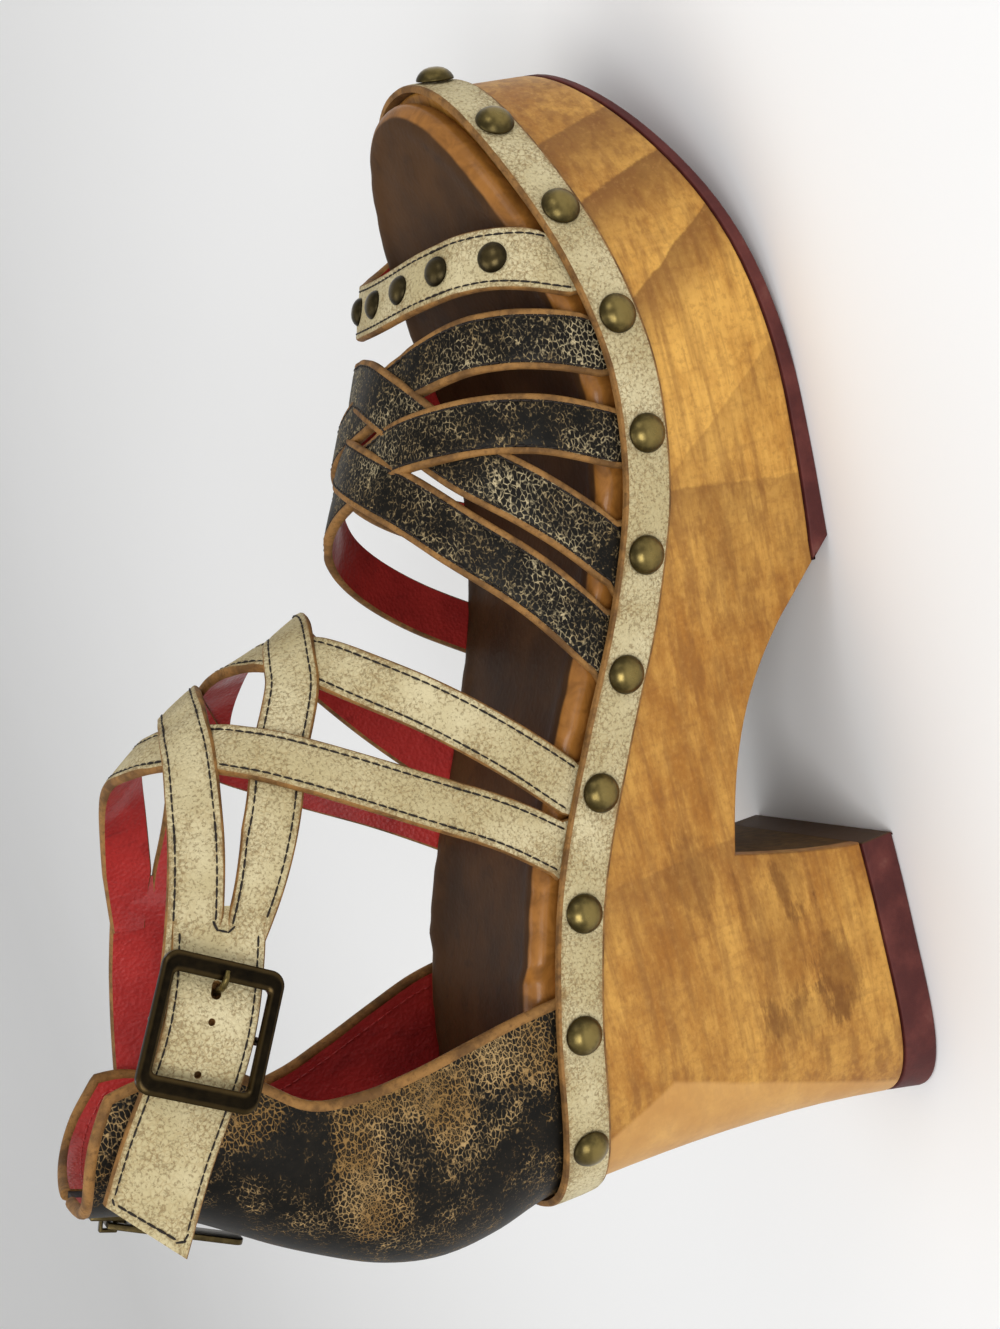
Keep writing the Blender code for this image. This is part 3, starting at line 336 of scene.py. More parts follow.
# %% [markdown]
# ## Wood
# The bottom is one block of pale wood, stained amber and varnished. Near the toe the saw cut across the
# growth rings, and each ring shows as a slanted border that is dark on its heel side and fades towards the
# next one. The stain is uneven: it lies thicker from the waist to the heel, it gathers in smudges there, and
# the sanded facet at the back of the heel took less of it. The toe, where the block curves away from the
# light, is darkened too, which is painted shade. An image could hold all that, but sums of planes, spots and
# clouds stay sharp at any size and run round the block.

# %% Stained wood
RING_BORDERS = (
    (-48.0, 0.05, 0.34), (22.0, -0.12, 0.40), (55.0, 0.70, 0.26), (89.8, 0.643, 0.70), (102.6, 0.333, 0.78),
    (116.6, 0.309, 0.70),
)
RING_FADE = 17.0
SMUDGES = (
    ((-76, -34, 36), (22, 14, 9), 0.40),
    ((-88, -33, 22), (15, 14, 7), 0.62),
    ((-60, -34, 29), (15, 14, 6), 0.46),
    ((-56, -34, 53), (17, 14, 8), 0.46),
    ((-96, -32, 33), (9, 14, 12), 0.45),
    ((10, -40, 26), (26, 14, 11), 0.36),
    ((-30, 32, 50), (26, 14, 12), 0.40),
    ((-95, 30, 30), (18, 14, 14), 0.50),
    ((96, 20, 24), (20, 22, 9), 0.34),
)
FACET_X, FACET_Z, FACET_SPREAD = -96.5, 69.0, 0.42


def ring_shade(along, up, wobble):
    """Dark on the heel side of every ring border, fading away from it.

    A border is given by its x at the floor, how far it leans back as it rises and how dark it is.
    """
    shade = 0.0
    for floor_x, lean, depth in RING_BORDERS:
        behind = floor_x * MM - along - lean * up + wobble
        shade = shade + depth * behind.step(0.0, 0.7 * MM) * (1 - behind.step(0.0, RING_FADE * MM))
    return shade


def wood_finish():
    material, shader, place = new_finish("stained_wood")
    along, up = place.axis("X"), place.axis("Z")
    cloud = place.noise(24.0, 4.0, 0.62)
    blotch = place.noise(75.0, 5.0, 0.7)
    brush = place.noise(150.0, 5.0, 0.75, stretch=(0.3, 1, 1))
    streak = place.noise(420.0, 3.0, 0.6, stretch=(0.07, 1, 1))
    sanded = place.noise(420.0, 3.0, 0.6, stretch=(1, 1, 0.12))
    mottle = place.noise(780.0, 3.0, 0.62)
    amber = (0.5 * cloud + 0.5 * brush).step(0.38, 0.62).paint(colour(168, 111, 36), colour(222, 169, 80))
    # Thicker stain from the waist to the heel, and painted shade at the toe, where the block curves away.
    stain_and_toe_shade = 0.36 * (1 - along.step(0.0, 45 * MM)) + 0.42 * along.step(60 * MM, 108 * MM)
    amber = (stain_and_toe_shade + 0.9 * (blotch - 0.5)).step(0.0, 1.0).paint(amber, colour(132, 80, 20))
    amber = ring_shade(along, up, 3.5 * MM * (blotch - 0.5)).paint(amber, colour(112, 68, 20))
    amber = (streak.step(0.44, 0.66) * 0.46).paint(amber, colour(124, 76, 26))
    amber = (sanded.step(0.5, 0.74) * 0.22).paint(amber, colour(130, 80, 30))
    amber = (mottle.step(0.48, 0.7) * 0.3).paint(amber, colour(128, 80, 30))
    amber = ((1 - mottle.step(0.3, 0.47)) * 0.12).paint(amber, colour(224, 172, 98))
    stain = blotch.step(0.52, 0.72) * brush.step(0.36, 0.66) * 0.45
    for centre, radii, depth in SMUDGES:
        stain = stain + depth * place.spot(centre, radii, 2.4 * (brush - 0.5) + 1.8 * (blotch - 0.5))
    stain = stain.step(0.0, 1.1)
    amber = (stain * 0.66).paint(amber, colour(92, 54, 18))
    across = place.axis("Y")
    # The underside of the waist and the heel breast is painted dark brown and made duller.
    under = 1 - across.maths("ABSOLUTE", across, 0.0).step(28 * MM, 29.5 * MM)
    under = under * along.step(-66 * MM, -63 * MM) * (1 - along.step(0.0, 12 * MM))
    amber = (under * (0.7 + 0.4 * streak)).paint(amber, colour(66, 47, 19))
    off_middle = up - FACET_Z * MM
    border = FACET_X * MM - FACET_SPREAD * off_middle.maths("ABSOLUTE", off_middle, 0.0)
    facet = (border - along + 1.2 * MM * (blotch - 0.5)).step(-0.6 * MM, 0.9 * MM)
    bare = cloud.step(0.3, 0.7).paint(colour(196, 144, 78), colour(214, 166, 98))
    amber = (facet * 0.72).paint(amber, bare)
    relief = 0.5 * streak + 0.25 * sanded + 0.3 * mottle
    coat(shader, relief, 0.10, Base_Color=amber, Roughness=0.46 + 0.2 * blotch + 0.1 * stain + 0.3 * under,
         Coat_Weight=(0.12 - 0.08 * stain) * (1 - under), Coat_Roughness=0.26, Specular_IOR_Level=0.28)
    return material


stained_wood = wood_finish()
print("finish", stained_wood.name, "with", len(SMUDGES), "smudges and", len(RING_BORDERS), "ring borders")

# %% [markdown]
# ## Rubber
# Heel lift and forefoot tread are cut from burgundy sheet rubber. It is dull, with fine dust in its pores
# and paler scuffs. Two clouds of different size are enough for that. The front of the lift is painted as dark
# brown as the wood above it.

# %% Burgundy rubber
LIFT_FRONT, TREAD_BACK = -62.64, -30.0


def rubber_finish():
    material, shader, place = new_finish("burgundy_rubber")
    grain = place.noise(1400.0, 2.0)
    dust = place.noise(90.0, 4.0, 0.65)
    red = dust.step(0.35, 0.7).paint(colour(76, 31, 29), colour(100, 48, 43))
    red = (dust.step(0.6, 0.8) * 0.5).paint(red, colour(132, 90, 78))
    along = place.axis("X")
    # The front of the lift is painted dark brown.
    front = along.step((LIFT_FRONT - 0.4) * MM, (LIFT_FRONT - 0.1) * MM)
    front = front * (1 - along.step((TREAD_BACK - 10) * MM, TREAD_BACK * MM))
    red = (front * (0.7 + 0.3 * dust)).paint(red, colour(70, 50, 24))
    coat(shader, grain + 0.6 * dust, 0.07, Base_Color=red, Roughness=0.5 + 0.25 * dust,
         Specular_IOR_Level=0.28)
    return material


burgundy_rubber = rubber_finish()
print("finish", burgundy_rubber.name)

# %% [markdown]
# ## Leathers
# Five leathers show: cream and black on the straps, red inside them, brown on the footbed, and the raw tan
# edge of every cut. Cream and black are crackled, which means that the painted skin has broken into small
# islands and shows the tan below. Cells give the islands: the distance to a cell's border is the crack, and
# clouds decide where the skin has broken most. Where a strap is rubbed, near its edges, the mesh carries a
# number called wear.

# %% Cream crackled leather
def cream_finish():
    material, shader, place = new_finish("cream_leather")
    warped = place.bent(420.0, 0.9)
    crack = warped.cells(820.0, "DISTANCE_TO_EDGE")
    speck = place.noise(1500.0, 3.0, 0.7)
    cloud = place.noise(110.0, 4.0, 0.66)
    patch = place.noise(38.0, 3.0, 0.6)
    wear = place.attribute("wear")
    lines = (1 - crack.step(0.01, 0.14)) * (cloud + 0.2 * wear).step(0.34, 0.66)
    specks = (speck + 0.22 * (cloud - 0.5) + 0.05 * wear).step(0.53, 0.62)
    skin = patch.step(0.35, 0.68).paint(colour(186, 171, 128), colour(210, 197, 157))
    skin = ((cloud + 0.42 * wear).step(0.74, 1.12) * 0.85).paint(skin, colour(148, 110, 60))
    skin = (lines * 0.46).paint(skin, colour(140, 108, 60))
    skin = (specks * 0.52).paint(skin, colour(118, 92, 52))
    relief = 0.8 * crack.step(0.0, 0.3) - 0.5 * specks + 0.6 * cloud
    coat(shader, relief, 0.12, Base_Color=skin, Roughness=0.5 + 0.2 * cloud + 0.1 * lines,
         Specular_IOR_Level=0.3)
    return material


cream_leather = cream_finish()
print("finish", cream_leather.name)

# %% Black crackled leather
CRACK_DRAW = (0.62, 1.0, 1.0)


def black_finish(name, rubbed, patchy, tans, patches=()):
    """Black skin over tan.

    Rubbed is how much of the tan shows, patchy how unevenly, tans are its darkest and palest colour, and
    patches are where the skin is rubbed off.
    """
    material, shader, place = new_finish(name)
    warped = place.bent(640.0, 0.9)
    crack = warped.vector("MULTIPLY", warped, CRACK_DRAW).cells(1100.0, "DISTANCE_TO_EDGE")
    fine = warped.cells(2100.0, "DISTANCE_TO_EDGE")
    speck = place.noise(1100.0, 3.0, 0.7)
    cloud = place.noise(230.0, 4.0, 0.7)
    patch = place.noise(60.0, 4.0, 0.62)
    fray = patchy * (1.1 * (patch - 0.5) + 0.9 * (cloud - 0.5))
    scuff = fray + 0.1 * place.attribute("wear") + rubbed
    for centre, radii, depth in patches:
        scuff = scuff + depth * place.spot(centre, radii, 2.0 * fray)
    broken = scuff + 0.9 * (speck - 0.5)
    lines = (1 - crack.step(0.03, 0.13)) * broken.step(-0.04, 0.34)
    flecks = (1 - fine.step(0.03, 0.16)) * broken.step(0.2, 0.7)
    bare = broken.step(0.7, 1.1)
    skin = cloud.step(0.35, 0.7).paint(colour(13, 11, 7), colour(25, 21, 14))
    tan = patch.step(0.4, 0.65).paint(*tans)
    skin = (lines * 0.85).paint(skin, tan)
    skin = (flecks * 0.6).paint(skin, tan)
    skin = (bare * 0.45).paint(skin, colour(164, 134, 92))
    relief = 0.3 * cloud - 0.9 * lines - 0.5 * flecks - 0.3 * bare + 0.6 * patch
    coat(shader, relief, 0.14, Base_Color=skin, Roughness=0.46 + 0.2 * lines + 0.16 * bare,
         Specular_IOR_Level=0.13)
    return material


RUBBED_PLACES = (
    ((-82, -37, 120), (15, 14, 8), 0.52),
    ((-75, -37, 108), (11, 14, 8), 0.36),
    ((-74, -37, 128), (12, 14, 8), 0.42),
    ((-80, -37, 139), (13, 14, 7), 0.42),
    ((-93, -36, 143), (11, 14, 7), 0.34),
    ((-96, -34, 138), (10, 14, 8), 0.32),
    ((-68, -37, 162), (7, 14, 10), 0.32),
    ((-78, -36, 99), (11, 12, 6), 0.36),
    ((-92, 32, 128), (20, 18, 10), 0.45),
    ((-80, 32, 150), (12, 14, 9), 0.36),
)
black_leather = black_finish("black_leather", 0.06, 0.5, (colour(182, 154, 106), colour(214, 196, 154)))
counter_leather = black_finish("counter_leather", 0.0, 0.8, (colour(146, 112, 64), colour(188, 156, 106)),
                               RUBBED_PLACES)
print("finish", black_leather.name, counter_leather.name)

# %% Red lining, raw edge and footbed leather
def red_finish():
    material, shader, place = new_finish("red_lining")
    wrinkle = place.noise(240.0, 3.0, 0.6, stretch=(1, 1, 0.45), distortion=0.6)
    pebble = place.cells(1100.0)
    cloud = place.noise(55.0, 3.0)
    red = cloud.step(0.3, 0.7).paint(colour(156, 42, 40), colour(188, 54, 50))
    red = (wrinkle.step(0.56, 0.75) * 0.4).paint(red, colour(100, 18, 20))
    coat(shader, 1.2 * wrinkle + 0.5 * pebble, 0.26, Base_Color=red, Roughness=0.3 + 0.2 * wrinkle,
         Coat_Weight=0.35, Coat_Roughness=0.18, Specular_IOR_Level=0.4)
    return material


def raw_edge_finish():
    material, shader, place = new_finish("raw_edge")
    fibre = place.noise(900.0, 4.0, 0.7)
    dirt = place.noise(150.0, 4.0, 0.66)
    tan = dirt.step(0.34, 0.66).paint(colour(100, 69, 33), colour(154, 111, 58))
    tan = (fibre.step(0.52, 0.7) * 0.5).paint(tan, colour(78, 48, 22))
    tan = (dirt.step(0.58, 0.72) * 0.55).paint(tan, colour(58, 38, 20))
    coat(shader, fibre, 0.2, Base_Color=tan, Roughness=0.6 + 0.2 * fibre, Specular_IOR_Level=0.3)
    return material


def footbed_finish():
    """Brown sock with a golden rolled edge; the mesh says how far a point is up the roll."""
    material, shader, place = new_finish("footbed_leather")
    roll = place.attribute("roll")
    pebble = place.cells(700.0)
    crease = place.noise(190.0, 3.0, 0.6, distortion=0.8)
    cloud = place.noise(40.0, 4.0, 0.6)
    brown = cloud.step(0.3, 0.7).paint(colour(56, 37, 20), colour(80, 54, 30))
    brown = (crease.step(0.56, 0.7) * 0.3).paint(brown, colour(40, 27, 18))
    tan = crease.step(0.3, 0.7).paint(colour(126, 81, 32), colour(158, 105, 46))
    tan = (cloud.step(0.5, 0.75) * 0.6).paint(tan, colour(88, 54, 23))
    border = (roll + 0.04 * (crease - 0.5)).step(0.4, 0.6)
    skin = border.paint(brown, tan)
    coat(shader, 0.3 * pebble + 1.1 * crease, 0.16, Base_Color=skin, Roughness=0.44 + 0.2 * cloud,
         Coat_Weight=0.35 * border, Coat_Roughness=0.22, Specular_IOR_Level=0.1)
    return material


red_lining, raw_edge, footbed_leather = red_finish(), raw_edge_finish(), footbed_finish()
print("finish", red_lining.name, raw_edge.name, footbed_leather.name)

# %% [markdown]
# ## Metal, thread and tape
# Nails, buckle and zip are brass that was darkened on purpose and has rubbed bright again where it is
# touched. The mesh carries wear on its edges, and a cloud breaks the rubbed line up. The toe strap's nails
# are the same brass painted darker still, as painted shade, and the bright upper rims of the buckle are
# partly a painted highlight.

# %% Antique brass, thread and zip tape
def brass_finish(name, dark, bright, rub, mottle=0.7):
    material, shader, place = new_finish(name)
    spot = place.noise(520.0, 4.0, 0.65)
    haze = place.noise(130.0, 3.0)
    wear = place.attribute("wear")
    rubbed = (rub * wear + mottle * (spot - 0.5) + 0.7 * mottle * (haze - 0.5)).step(0.05, 0.75)
    metal = rubbed.paint(dark, bright)
    coat(shader, spot, 0.03, Base_Color=metal, Roughness=0.32 - 0.1 * rubbed + 0.12 * haze, Metallic=1.0)
    return material


nail_brass = brass_finish("nail_brass", colour(70, 61, 36), colour(132, 115, 68), 0.75)
# The toe strap's nails are the same brass painted darker: painted shade and a painted dark reflection.
toe_nail_brass = brass_finish("toe_nail_brass", colour(46, 40, 26), colour(88, 76, 48), 0.6)
# The buckle's bright upper rims are partly rubbed wear and partly a painted highlight.
buckle_brass = brass_finish("buckle_brass", colour(15, 13, 10), colour(74, 60, 36), 0.62, mottle=0.22)
zip_brass = brass_finish("zip_brass", colour(31, 27, 20), colour(88, 75, 47), 0.5)


def thread_finish():
    material, shader, place = new_finish("waxed_thread")
    twist = place.noise(2600.0, 2.0, stretch=(1, 1, 0.4))
    dark = twist.paint(colour(16, 12, 9), colour(40, 29, 21))
    coat(shader, twist, 0.05, Base_Color=dark, Roughness=0.5 + 0.2 * twist, Specular_IOR_Level=0.3)
    return material


def tape_finish():
    material, shader, place = new_finish("zip_tape")
    weave = place.cells(1900.0, randomness=0.15)
    lint = place.noise(300.0, 3.0)
    black = lint.step(0.35, 0.7).paint(colour(20, 18, 18), colour(44, 40, 38))
    coat(shader, weave + 0.4 * lint, 0.09, Base_Color=black, Roughness=0.75 + 0.15 * lint)
    return material


waxed_thread, zip_tape = thread_finish(), tape_finish()
print("finish", waxed_thread.name, zip_tape.name, nail_brass.name)

# %% [markdown]
# ## The sandal's own curves
# A last maker keeps a shoe as a few tables of sections. These are the same tables that the solids were made
# from, in millimetres, in the shoe's own frame: x from the heel to the toe, y from the outer side to the
# inner side, z up from the floor. Each column is read as a smooth curve, so a finer mesh lies exactly on the
# same surface.

# %% Smooth tables
def unit(direction):
    """The same direction with a length of 1, or a whole array of them."""
    return direction / np.linalg.norm(direction, axis=-1, keepdims=True)


def run_along(line):
    """How far each point of a line lies from its start, measured along it."""
    return np.r_[0, np.cumsum(np.linalg.norm(np.diff(line, axis=0), axis=1))]


def smooth(t, span, heights, slopes):
    """Curve between two heights with these slopes at its ends, read at a share of its span."""
    start = (1 + 2 * t) * (1 - t) ** 2 * heights[0] + t * (1 - t) ** 2 * span * slopes[0]
    end = t * t * (3 - 2 * t) * heights[1] + t * t * (t - 1) * span * slopes[1]
    return float(start + end)


class Table:
    """A short design table, each column read as a smooth curve over the first one."""

    def __init__(self, columns, rows):
        data = np.array(rows, float)
        self.xs = data[:, 0]
        self.columns = {}
        for name, ys in zip(columns, data.T):
            self.columns[name] = (ys, np.gradient(ys, self.xs))

    def __call__(self, name, at):
        xs = self.xs
        ys, slopes = self.columns[name]
        at = min(max(at, xs[0]), xs[-1])
        k = min(max(int(np.searchsorted(xs, at)) - 1, 0), len(xs) - 2)
        span = xs[k + 1] - xs[k]
        return smooth((at - xs[k]) / span, span, ys[k:k + 2], slopes[k:k + 2])


SOLE = Table(
    ("x", "top", "centre", "half", "taper"),
    (
        (0, 96.5, 0.0, 33.0, 4.5), (25, 94.8, 0.3, 34.0, 4.5), (50, 90.0, 0.0, 35.0, 4.5),
        (75, 81.3, -1.0, 33.5, 4.0), (100, 68.5, -1.5, 33.5, 3.0), (125, 55.7, -1.0, 37.0, 2.5),
        (150, 46.5, 0.5, 41.5, 2.0), (175, 43.3, 1.5, 43.8, 1.5), (200, 46.0, 3.0, 43.8, 1.5),
        (225, 50.2, 3.5, 40.0, 1.5), (247, 53.0, 5.0, 38.0, 1.5),
    ),
)
LENGTH = 247.0
HEEL_BACK, HEEL_CAP = 3.0, 32.0
HEEL_POWER_SEAT, HEEL_POWER_FLOOR = 2.3, 3.4
TOE_CAP, TOE_POWER = 62.0, 2.2
HEEL_FLARE, HEEL_FLARE_POWER, HEEL_FLARE_REACH = 12.0, 2.4, 62.0
TOE_UNDERCUT, TOE_UNDERCUT_START = 2.0, 185.0
GAP = 0.3
SHIFT = np.array([
    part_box("wood_sole")[1].x / MM - LENGTH, (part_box("zip")[0].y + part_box("zip")[1].y) / 2 / MM, 0.0,
])
print("the shoe's own frame starts at", np.round(SHIFT, 2), "mm")

# %% Wall of the sole
def top(x):
    """Height of the wood's upper face."""
    return SOLE("top", x)


def steepness(x):
    """Length along the sloping seat for each millimetre of height across it."""
    rise = (top(min(x + 1, LENGTH)) - top(max(x - 1, 0))) / 2
    return math.hypot(1, rise)


def cap(x, lean):
    """Share of the full width left at the rounded heel and toe."""
    if x < HEEL_BACK + HEEL_CAP:
        power = HEEL_POWER_SEAT + (HEEL_POWER_FLOOR - HEEL_POWER_SEAT) * lean
        return max(0.0, 1 - ((HEEL_BACK + HEEL_CAP - x) / HEEL_CAP) ** power) ** (1 / power)
    if x > LENGTH - TOE_CAP:
        return max(0.0, 1 - ((x - LENGTH + TOE_CAP) / TOE_CAP) ** TOE_POWER) ** (1 / TOE_POWER)
    return 1.0


def wall(x, z, side):
    """Point of the side wall: it leans in to the floor, flares at the heel and is undercut at the toe."""
    lean = 1 - min(max(z / top(x), 0.0), 1.0)
    half = (SOLE("half", x) - SOLE("taper", x) * lean) * cap(x, lean)
    flare = HEEL_FLARE * lean ** HEEL_FLARE_POWER * max(0.0, 1 - x / HEEL_FLARE_REACH) ** 2
    undercut_reach = (x - TOE_UNDERCUT_START) / (LENGTH - TOE_UNDERCUT_START)
    undercut = TOE_UNDERCUT * lean * max(0.0, undercut_reach) ** 2
    return (x - flare - undercut, SOLE("centre", x) + side * half, z)


def stations(start=HEEL_BACK, end=LENGTH, extra=(), spacing=2.6, cap_steps=22):
    """Places along the shoe where sections are taken, closer where heel and toe round off."""
    xs = set(extra)
    for k in range(cap_steps + 1):
        turn = max(0.0, math.cos(math.pi / 2 * k / cap_steps))
        xs.add(HEEL_BACK + HEEL_CAP * (1 - turn ** (2 / HEEL_POWER_SEAT)))
        xs.add(LENGTH - TOE_CAP * (1 - turn ** (2 / TOE_POWER)))
    straight = LENGTH - TOE_CAP - HEEL_CAP - HEEL_BACK
    count = round(straight / spacing)
    for k in range(1, count):
        xs.add(HEEL_BACK + HEEL_CAP + straight * k / count)
    xs.update((start, end))
    kept = []
    for x in sorted(xs):
        if start <= x <= end and (not kept or x - kept[-1] > 0.05):
            kept.append(x)
    kept[-1] = end
    return kept


def track(xs):
    """Places round the shoe, along the outer side and back along the inner one, and the pairs across."""
    inner = [k for k in range(len(xs)) if cap(xs[k], 0.0) > 0.001]
    places = [(x, -1) for x in xs] + [(xs[k], 1) for k in reversed(inner)]
    pairs = []
    for k in range(len(xs)):
        across = len(places) - 1 - inner.index(k) if k in inner else k
        pairs.append((k, across))
    return places, pairs


def loop_at(height, offset, xs):
    """Closed line round the shoe at a height that depends on x, so far outside its wall."""
    points = np.array([wall(x, height(x), side) for x, side in track(xs)[0]])
    along = np.roll(points, -1, axis=0) - np.roll(points, 1, axis=0)
    points[:, :2] += offset * unit(np.stack([along[:, 1], -along[:, 0]], axis=1))
    return points


def ring(rise, offset, xs):
    """Closed line round the shoe, so far above the wood's upper face and outside its wall."""
    return loop_at(lambda x: top(x) + rise * steepness(x), offset, xs)


print("places round the sole", len(track(stations())[0]))

# %% [markdown]
# ## Meshes from sections
# Almost every piece here is a skin over a row of sections: a strap's profile along its route, a ring round
# the sole, a rim along an edge. One helper turns such a row into faces and remembers which face belongs to
# which finish, and one makes the object, so that all normals point outwards and every piece rides on the
# shoe.

# %% Skin helpers
SHARP_DEGREES = 38.0
MERGE_REACH = 0.002


def skin(sections, zones=None, looped=False, capped=True, cap_zone=0):
    """Points, faces and zones of a skin over closed sections; a zone for each side of the profile."""
    sections = np.asarray(sections)
    count, sides = sections.shape[:2]
    zones = zones or [0] * sides
    faces, marks = [], []
    for k in range(count if looped else count - 1):
        after = (k + 1) % count
        for m in range(sides):
            n = (m + 1) % sides
            faces.append((k * sides + m, k * sides + n, after * sides + n, after * sides + m))
            marks.append(zones[m])
    if capped and not looped:
        faces += [tuple(range(sides)), tuple((count - 1) * sides + m for m in range(sides))]
        marks += [cap_zone, cap_zone]
    return sections.reshape(-1, 3), faces, marks


def across_faces(pairs, start):
    """Faces that close a loop round the shoe, strip by strip from side to side."""
    faces = []
    for (a, b), (c, d) in zip(pairs, pairs[1:]):
        corners = dict.fromkeys((start + a, start + b, start + d, start + c))
        faces.append(tuple(corners))
    return faces


def new_mesh(name, points, faces, finishes=(), marks=(), numbers=None):
    """A mesh with its normals outwards; points are millimetres, numbers are carried by each point."""
    mesh = bpy.data.meshes.new(name)
    mesh.from_pydata((points * MM).tolist(), [], faces)
    for finish in finishes:
        mesh.materials.append(finish)
    if marks:
        mesh.polygons.foreach_set("material_index", marks)
    for label, values in (numbers or {}).items():
        mesh.attributes.new(label, "FLOAT", "POINT").data.foreach_set("value", np.asarray(values, np.float32))
    bm = bmesh.new()
    bm.from_mesh(mesh)
    bmesh.ops.remove_doubles(bm, verts=bm.verts, dist=MERGE_REACH * MM)
    bmesh.ops.delete(bm, geom=[vert for vert in bm.verts if not vert.link_faces], context="VERTS")
    bmesh.ops.recalc_face_normals(bm, faces=bm.faces)
    bm.to_mesh(mesh)
    bm.free()
    return mesh


def smooth_piece(mesh, body=SHOE):
    """A piece with this mesh, smooth but for its sharp edges, that rides on a body."""
    mesh.shade_smooth()
    mesh.set_sharp_from_angle(angle=math.radians(SHARP_DEGREES))
    piece = new_object(mesh.name, mesh)
    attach(piece, body)
    return piece


def make_piece(name, skinned, finishes, numbers=None):
    """A piece of the shoe from points in the shoe's frame, faces and marks, as skin gives them."""
    points, faces, marks = skinned
    return smooth_piece(new_mesh(name, points + SHIFT, faces, finishes, marks, numbers))


def settle(piece):
    """Turn what a piece's modifiers make into its plain mesh."""
    bpy.context.view_layer.update()
    made = bpy.data.meshes.new_from_object(piece.evaluated_get(bpy.context.evaluated_depsgraph_get()))
    piece.modifiers.clear()
    piece.data = made


def stands_for(piece, slot, *nodes):
    """The piece takes these solids' place; the slot it is given is not used."""
    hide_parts(*nodes)
    print(piece.name, "for", nodes[0], len(piece.data.polygons), "faces")
    return piece


print("helpers ready")

# %% [markdown]
# ## Wooden bottom, lift and tread
# A sander rounds every edge of a wooden bottom a little. Bevelling a finished mesh would fight with the
# narrow faces at heel and toe, so the rounding is built in: rings run round the wall from the underside to
# the upper face, and the first and last ones are drawn in by the edge's radius.

# %% Heights of the sole
BREAST_FOOT_X, BREAST_TOP, BREAST_POWER = 58.6, (66.7, 40.6), 0.8
WAIST_END, WAIST_SLOPES = (114.0, 15.4), (-0.29, -1.0)
PLATFORM_BACK_X = 128.0
ROCKER_START_X, ROCKER_RADIUS = 158.0, 178.0
TREAD_THICK, TREAD_TOE_THICK, TREAD_SKIVE_POWER = 4.8, 2.2, 0.6
LIFT_THICK = 8.7


def bevel_height(x):
    """The platform's slanted back."""
    return (PLATFORM_BACK_X - x) * WAIST_END[1] / (PLATFORM_BACK_X - WAIST_END[0])


def tread_bottom(x):
    if x < PLATFORM_BACK_X:
        return min(bevel_height(x), TREAD_THICK)
    reach = max(0.0, x - ROCKER_START_X)
    return ROCKER_RADIUS - math.sqrt(ROCKER_RADIUS ** 2 - reach ** 2)


def tread_top(x):
    """The tread is skived thinner towards the toe."""
    share = max(0.0, (x - PLATFORM_BACK_X) / (LENGTH - PLATFORM_BACK_X)) ** TREAD_SKIVE_POWER
    thick = TREAD_THICK + (TREAD_TOE_THICK - TREAD_THICK) * share
    return tread_bottom(max(x, PLATFORM_BACK_X)) + thick


def waist_height(x):
    """Arched underside between the heel breast and the platform."""
    span = WAIST_END[0] - BREAST_TOP[0]
    return smooth((x - BREAST_TOP[0]) / span, span, (BREAST_TOP[1], WAIST_END[1]), WAIST_SLOPES)


def wood_bottom(x):
    heel_foot = LIFT_THICK + GAP
    if x <= BREAST_FOOT_X:
        return heel_foot
    if x <= BREAST_TOP[0]:
        share = (x - BREAST_FOOT_X) / (BREAST_TOP[0] - BREAST_FOOT_X)
        return heel_foot + (BREAST_TOP[1] - heel_foot) * share ** BREAST_POWER
    if x <= WAIST_END[0]:
        return waist_height(x)
    return max(bevel_height(x), tread_top(x) + GAP)


print("arch rises to", round(wood_bottom(BREAST_TOP[0]), 1), "mm")

# %% Slabs with sanded edges
EDGE_TURNS = 4


def between(low, high, share):
    """So far on the way from one number or point to another."""
    return low + (high - low) * share


def sanded_slab(xs, bottom, upper, levels, low_edge, high_edge):
    """Loops of a slab of the sole from its underside to its upper face, with rounded edges."""
    turns = [math.pi / 2 * k / EDGE_TURNS for k in range(EDGE_TURNS + 1)]
    loops = []
    for turn in turns:
        rise, inset = low_edge * (1 - math.cos(turn)), low_edge * (1 - math.sin(turn))
        loops.append(loop_at(lambda x: bottom(x) + rise, -inset, xs))
    for k in range(1, levels):
        share = k / levels
        loops.append(loop_at(lambda x: between(bottom(x) + low_edge, upper(x) - high_edge, share), 0.0, xs))
    for turn in turns:
        fall, inset = high_edge * (1 - math.sin(turn)), high_edge * (1 - math.cos(turn))
        loops.append(loop_at(lambda x: upper(x) - fall, -inset, xs))
    return loops


def slab_piece(name, xs, loops, finish, numbers=None):
    """The closed mesh over such loops."""
    pairs = track(xs)[1]
    points, faces, marks = skin(loops, capped=False)
    ends = across_faces(pairs, 0) + across_faces(pairs, len(loops[0]) * (len(loops) - 1))
    return make_piece(name, (points, faces + ends, marks + [0] * len(ends)), [finish], numbers)


BREAST_STEPS = 8
breast = [between(BREAST_FOOT_X, BREAST_TOP[0], k / BREAST_STEPS) for k in range(BREAST_STEPS + 1)]
bevel_run = (PLATFORM_BACK_X - WAIST_END[0]) / WAIST_END[1]
wood_xs = stations(extra=[*breast, WAIST_END[0], PLATFORM_BACK_X - (TREAD_THICK + GAP) * bevel_run])
wood_loops = sanded_slab(wood_xs, wood_bottom, top, 10, 1.1, 0.8)
wood = slab_piece("wooden_bottom", wood_xs, wood_loops, stained_wood)
stands_for(wood, "stained_wood", "wood_sole")

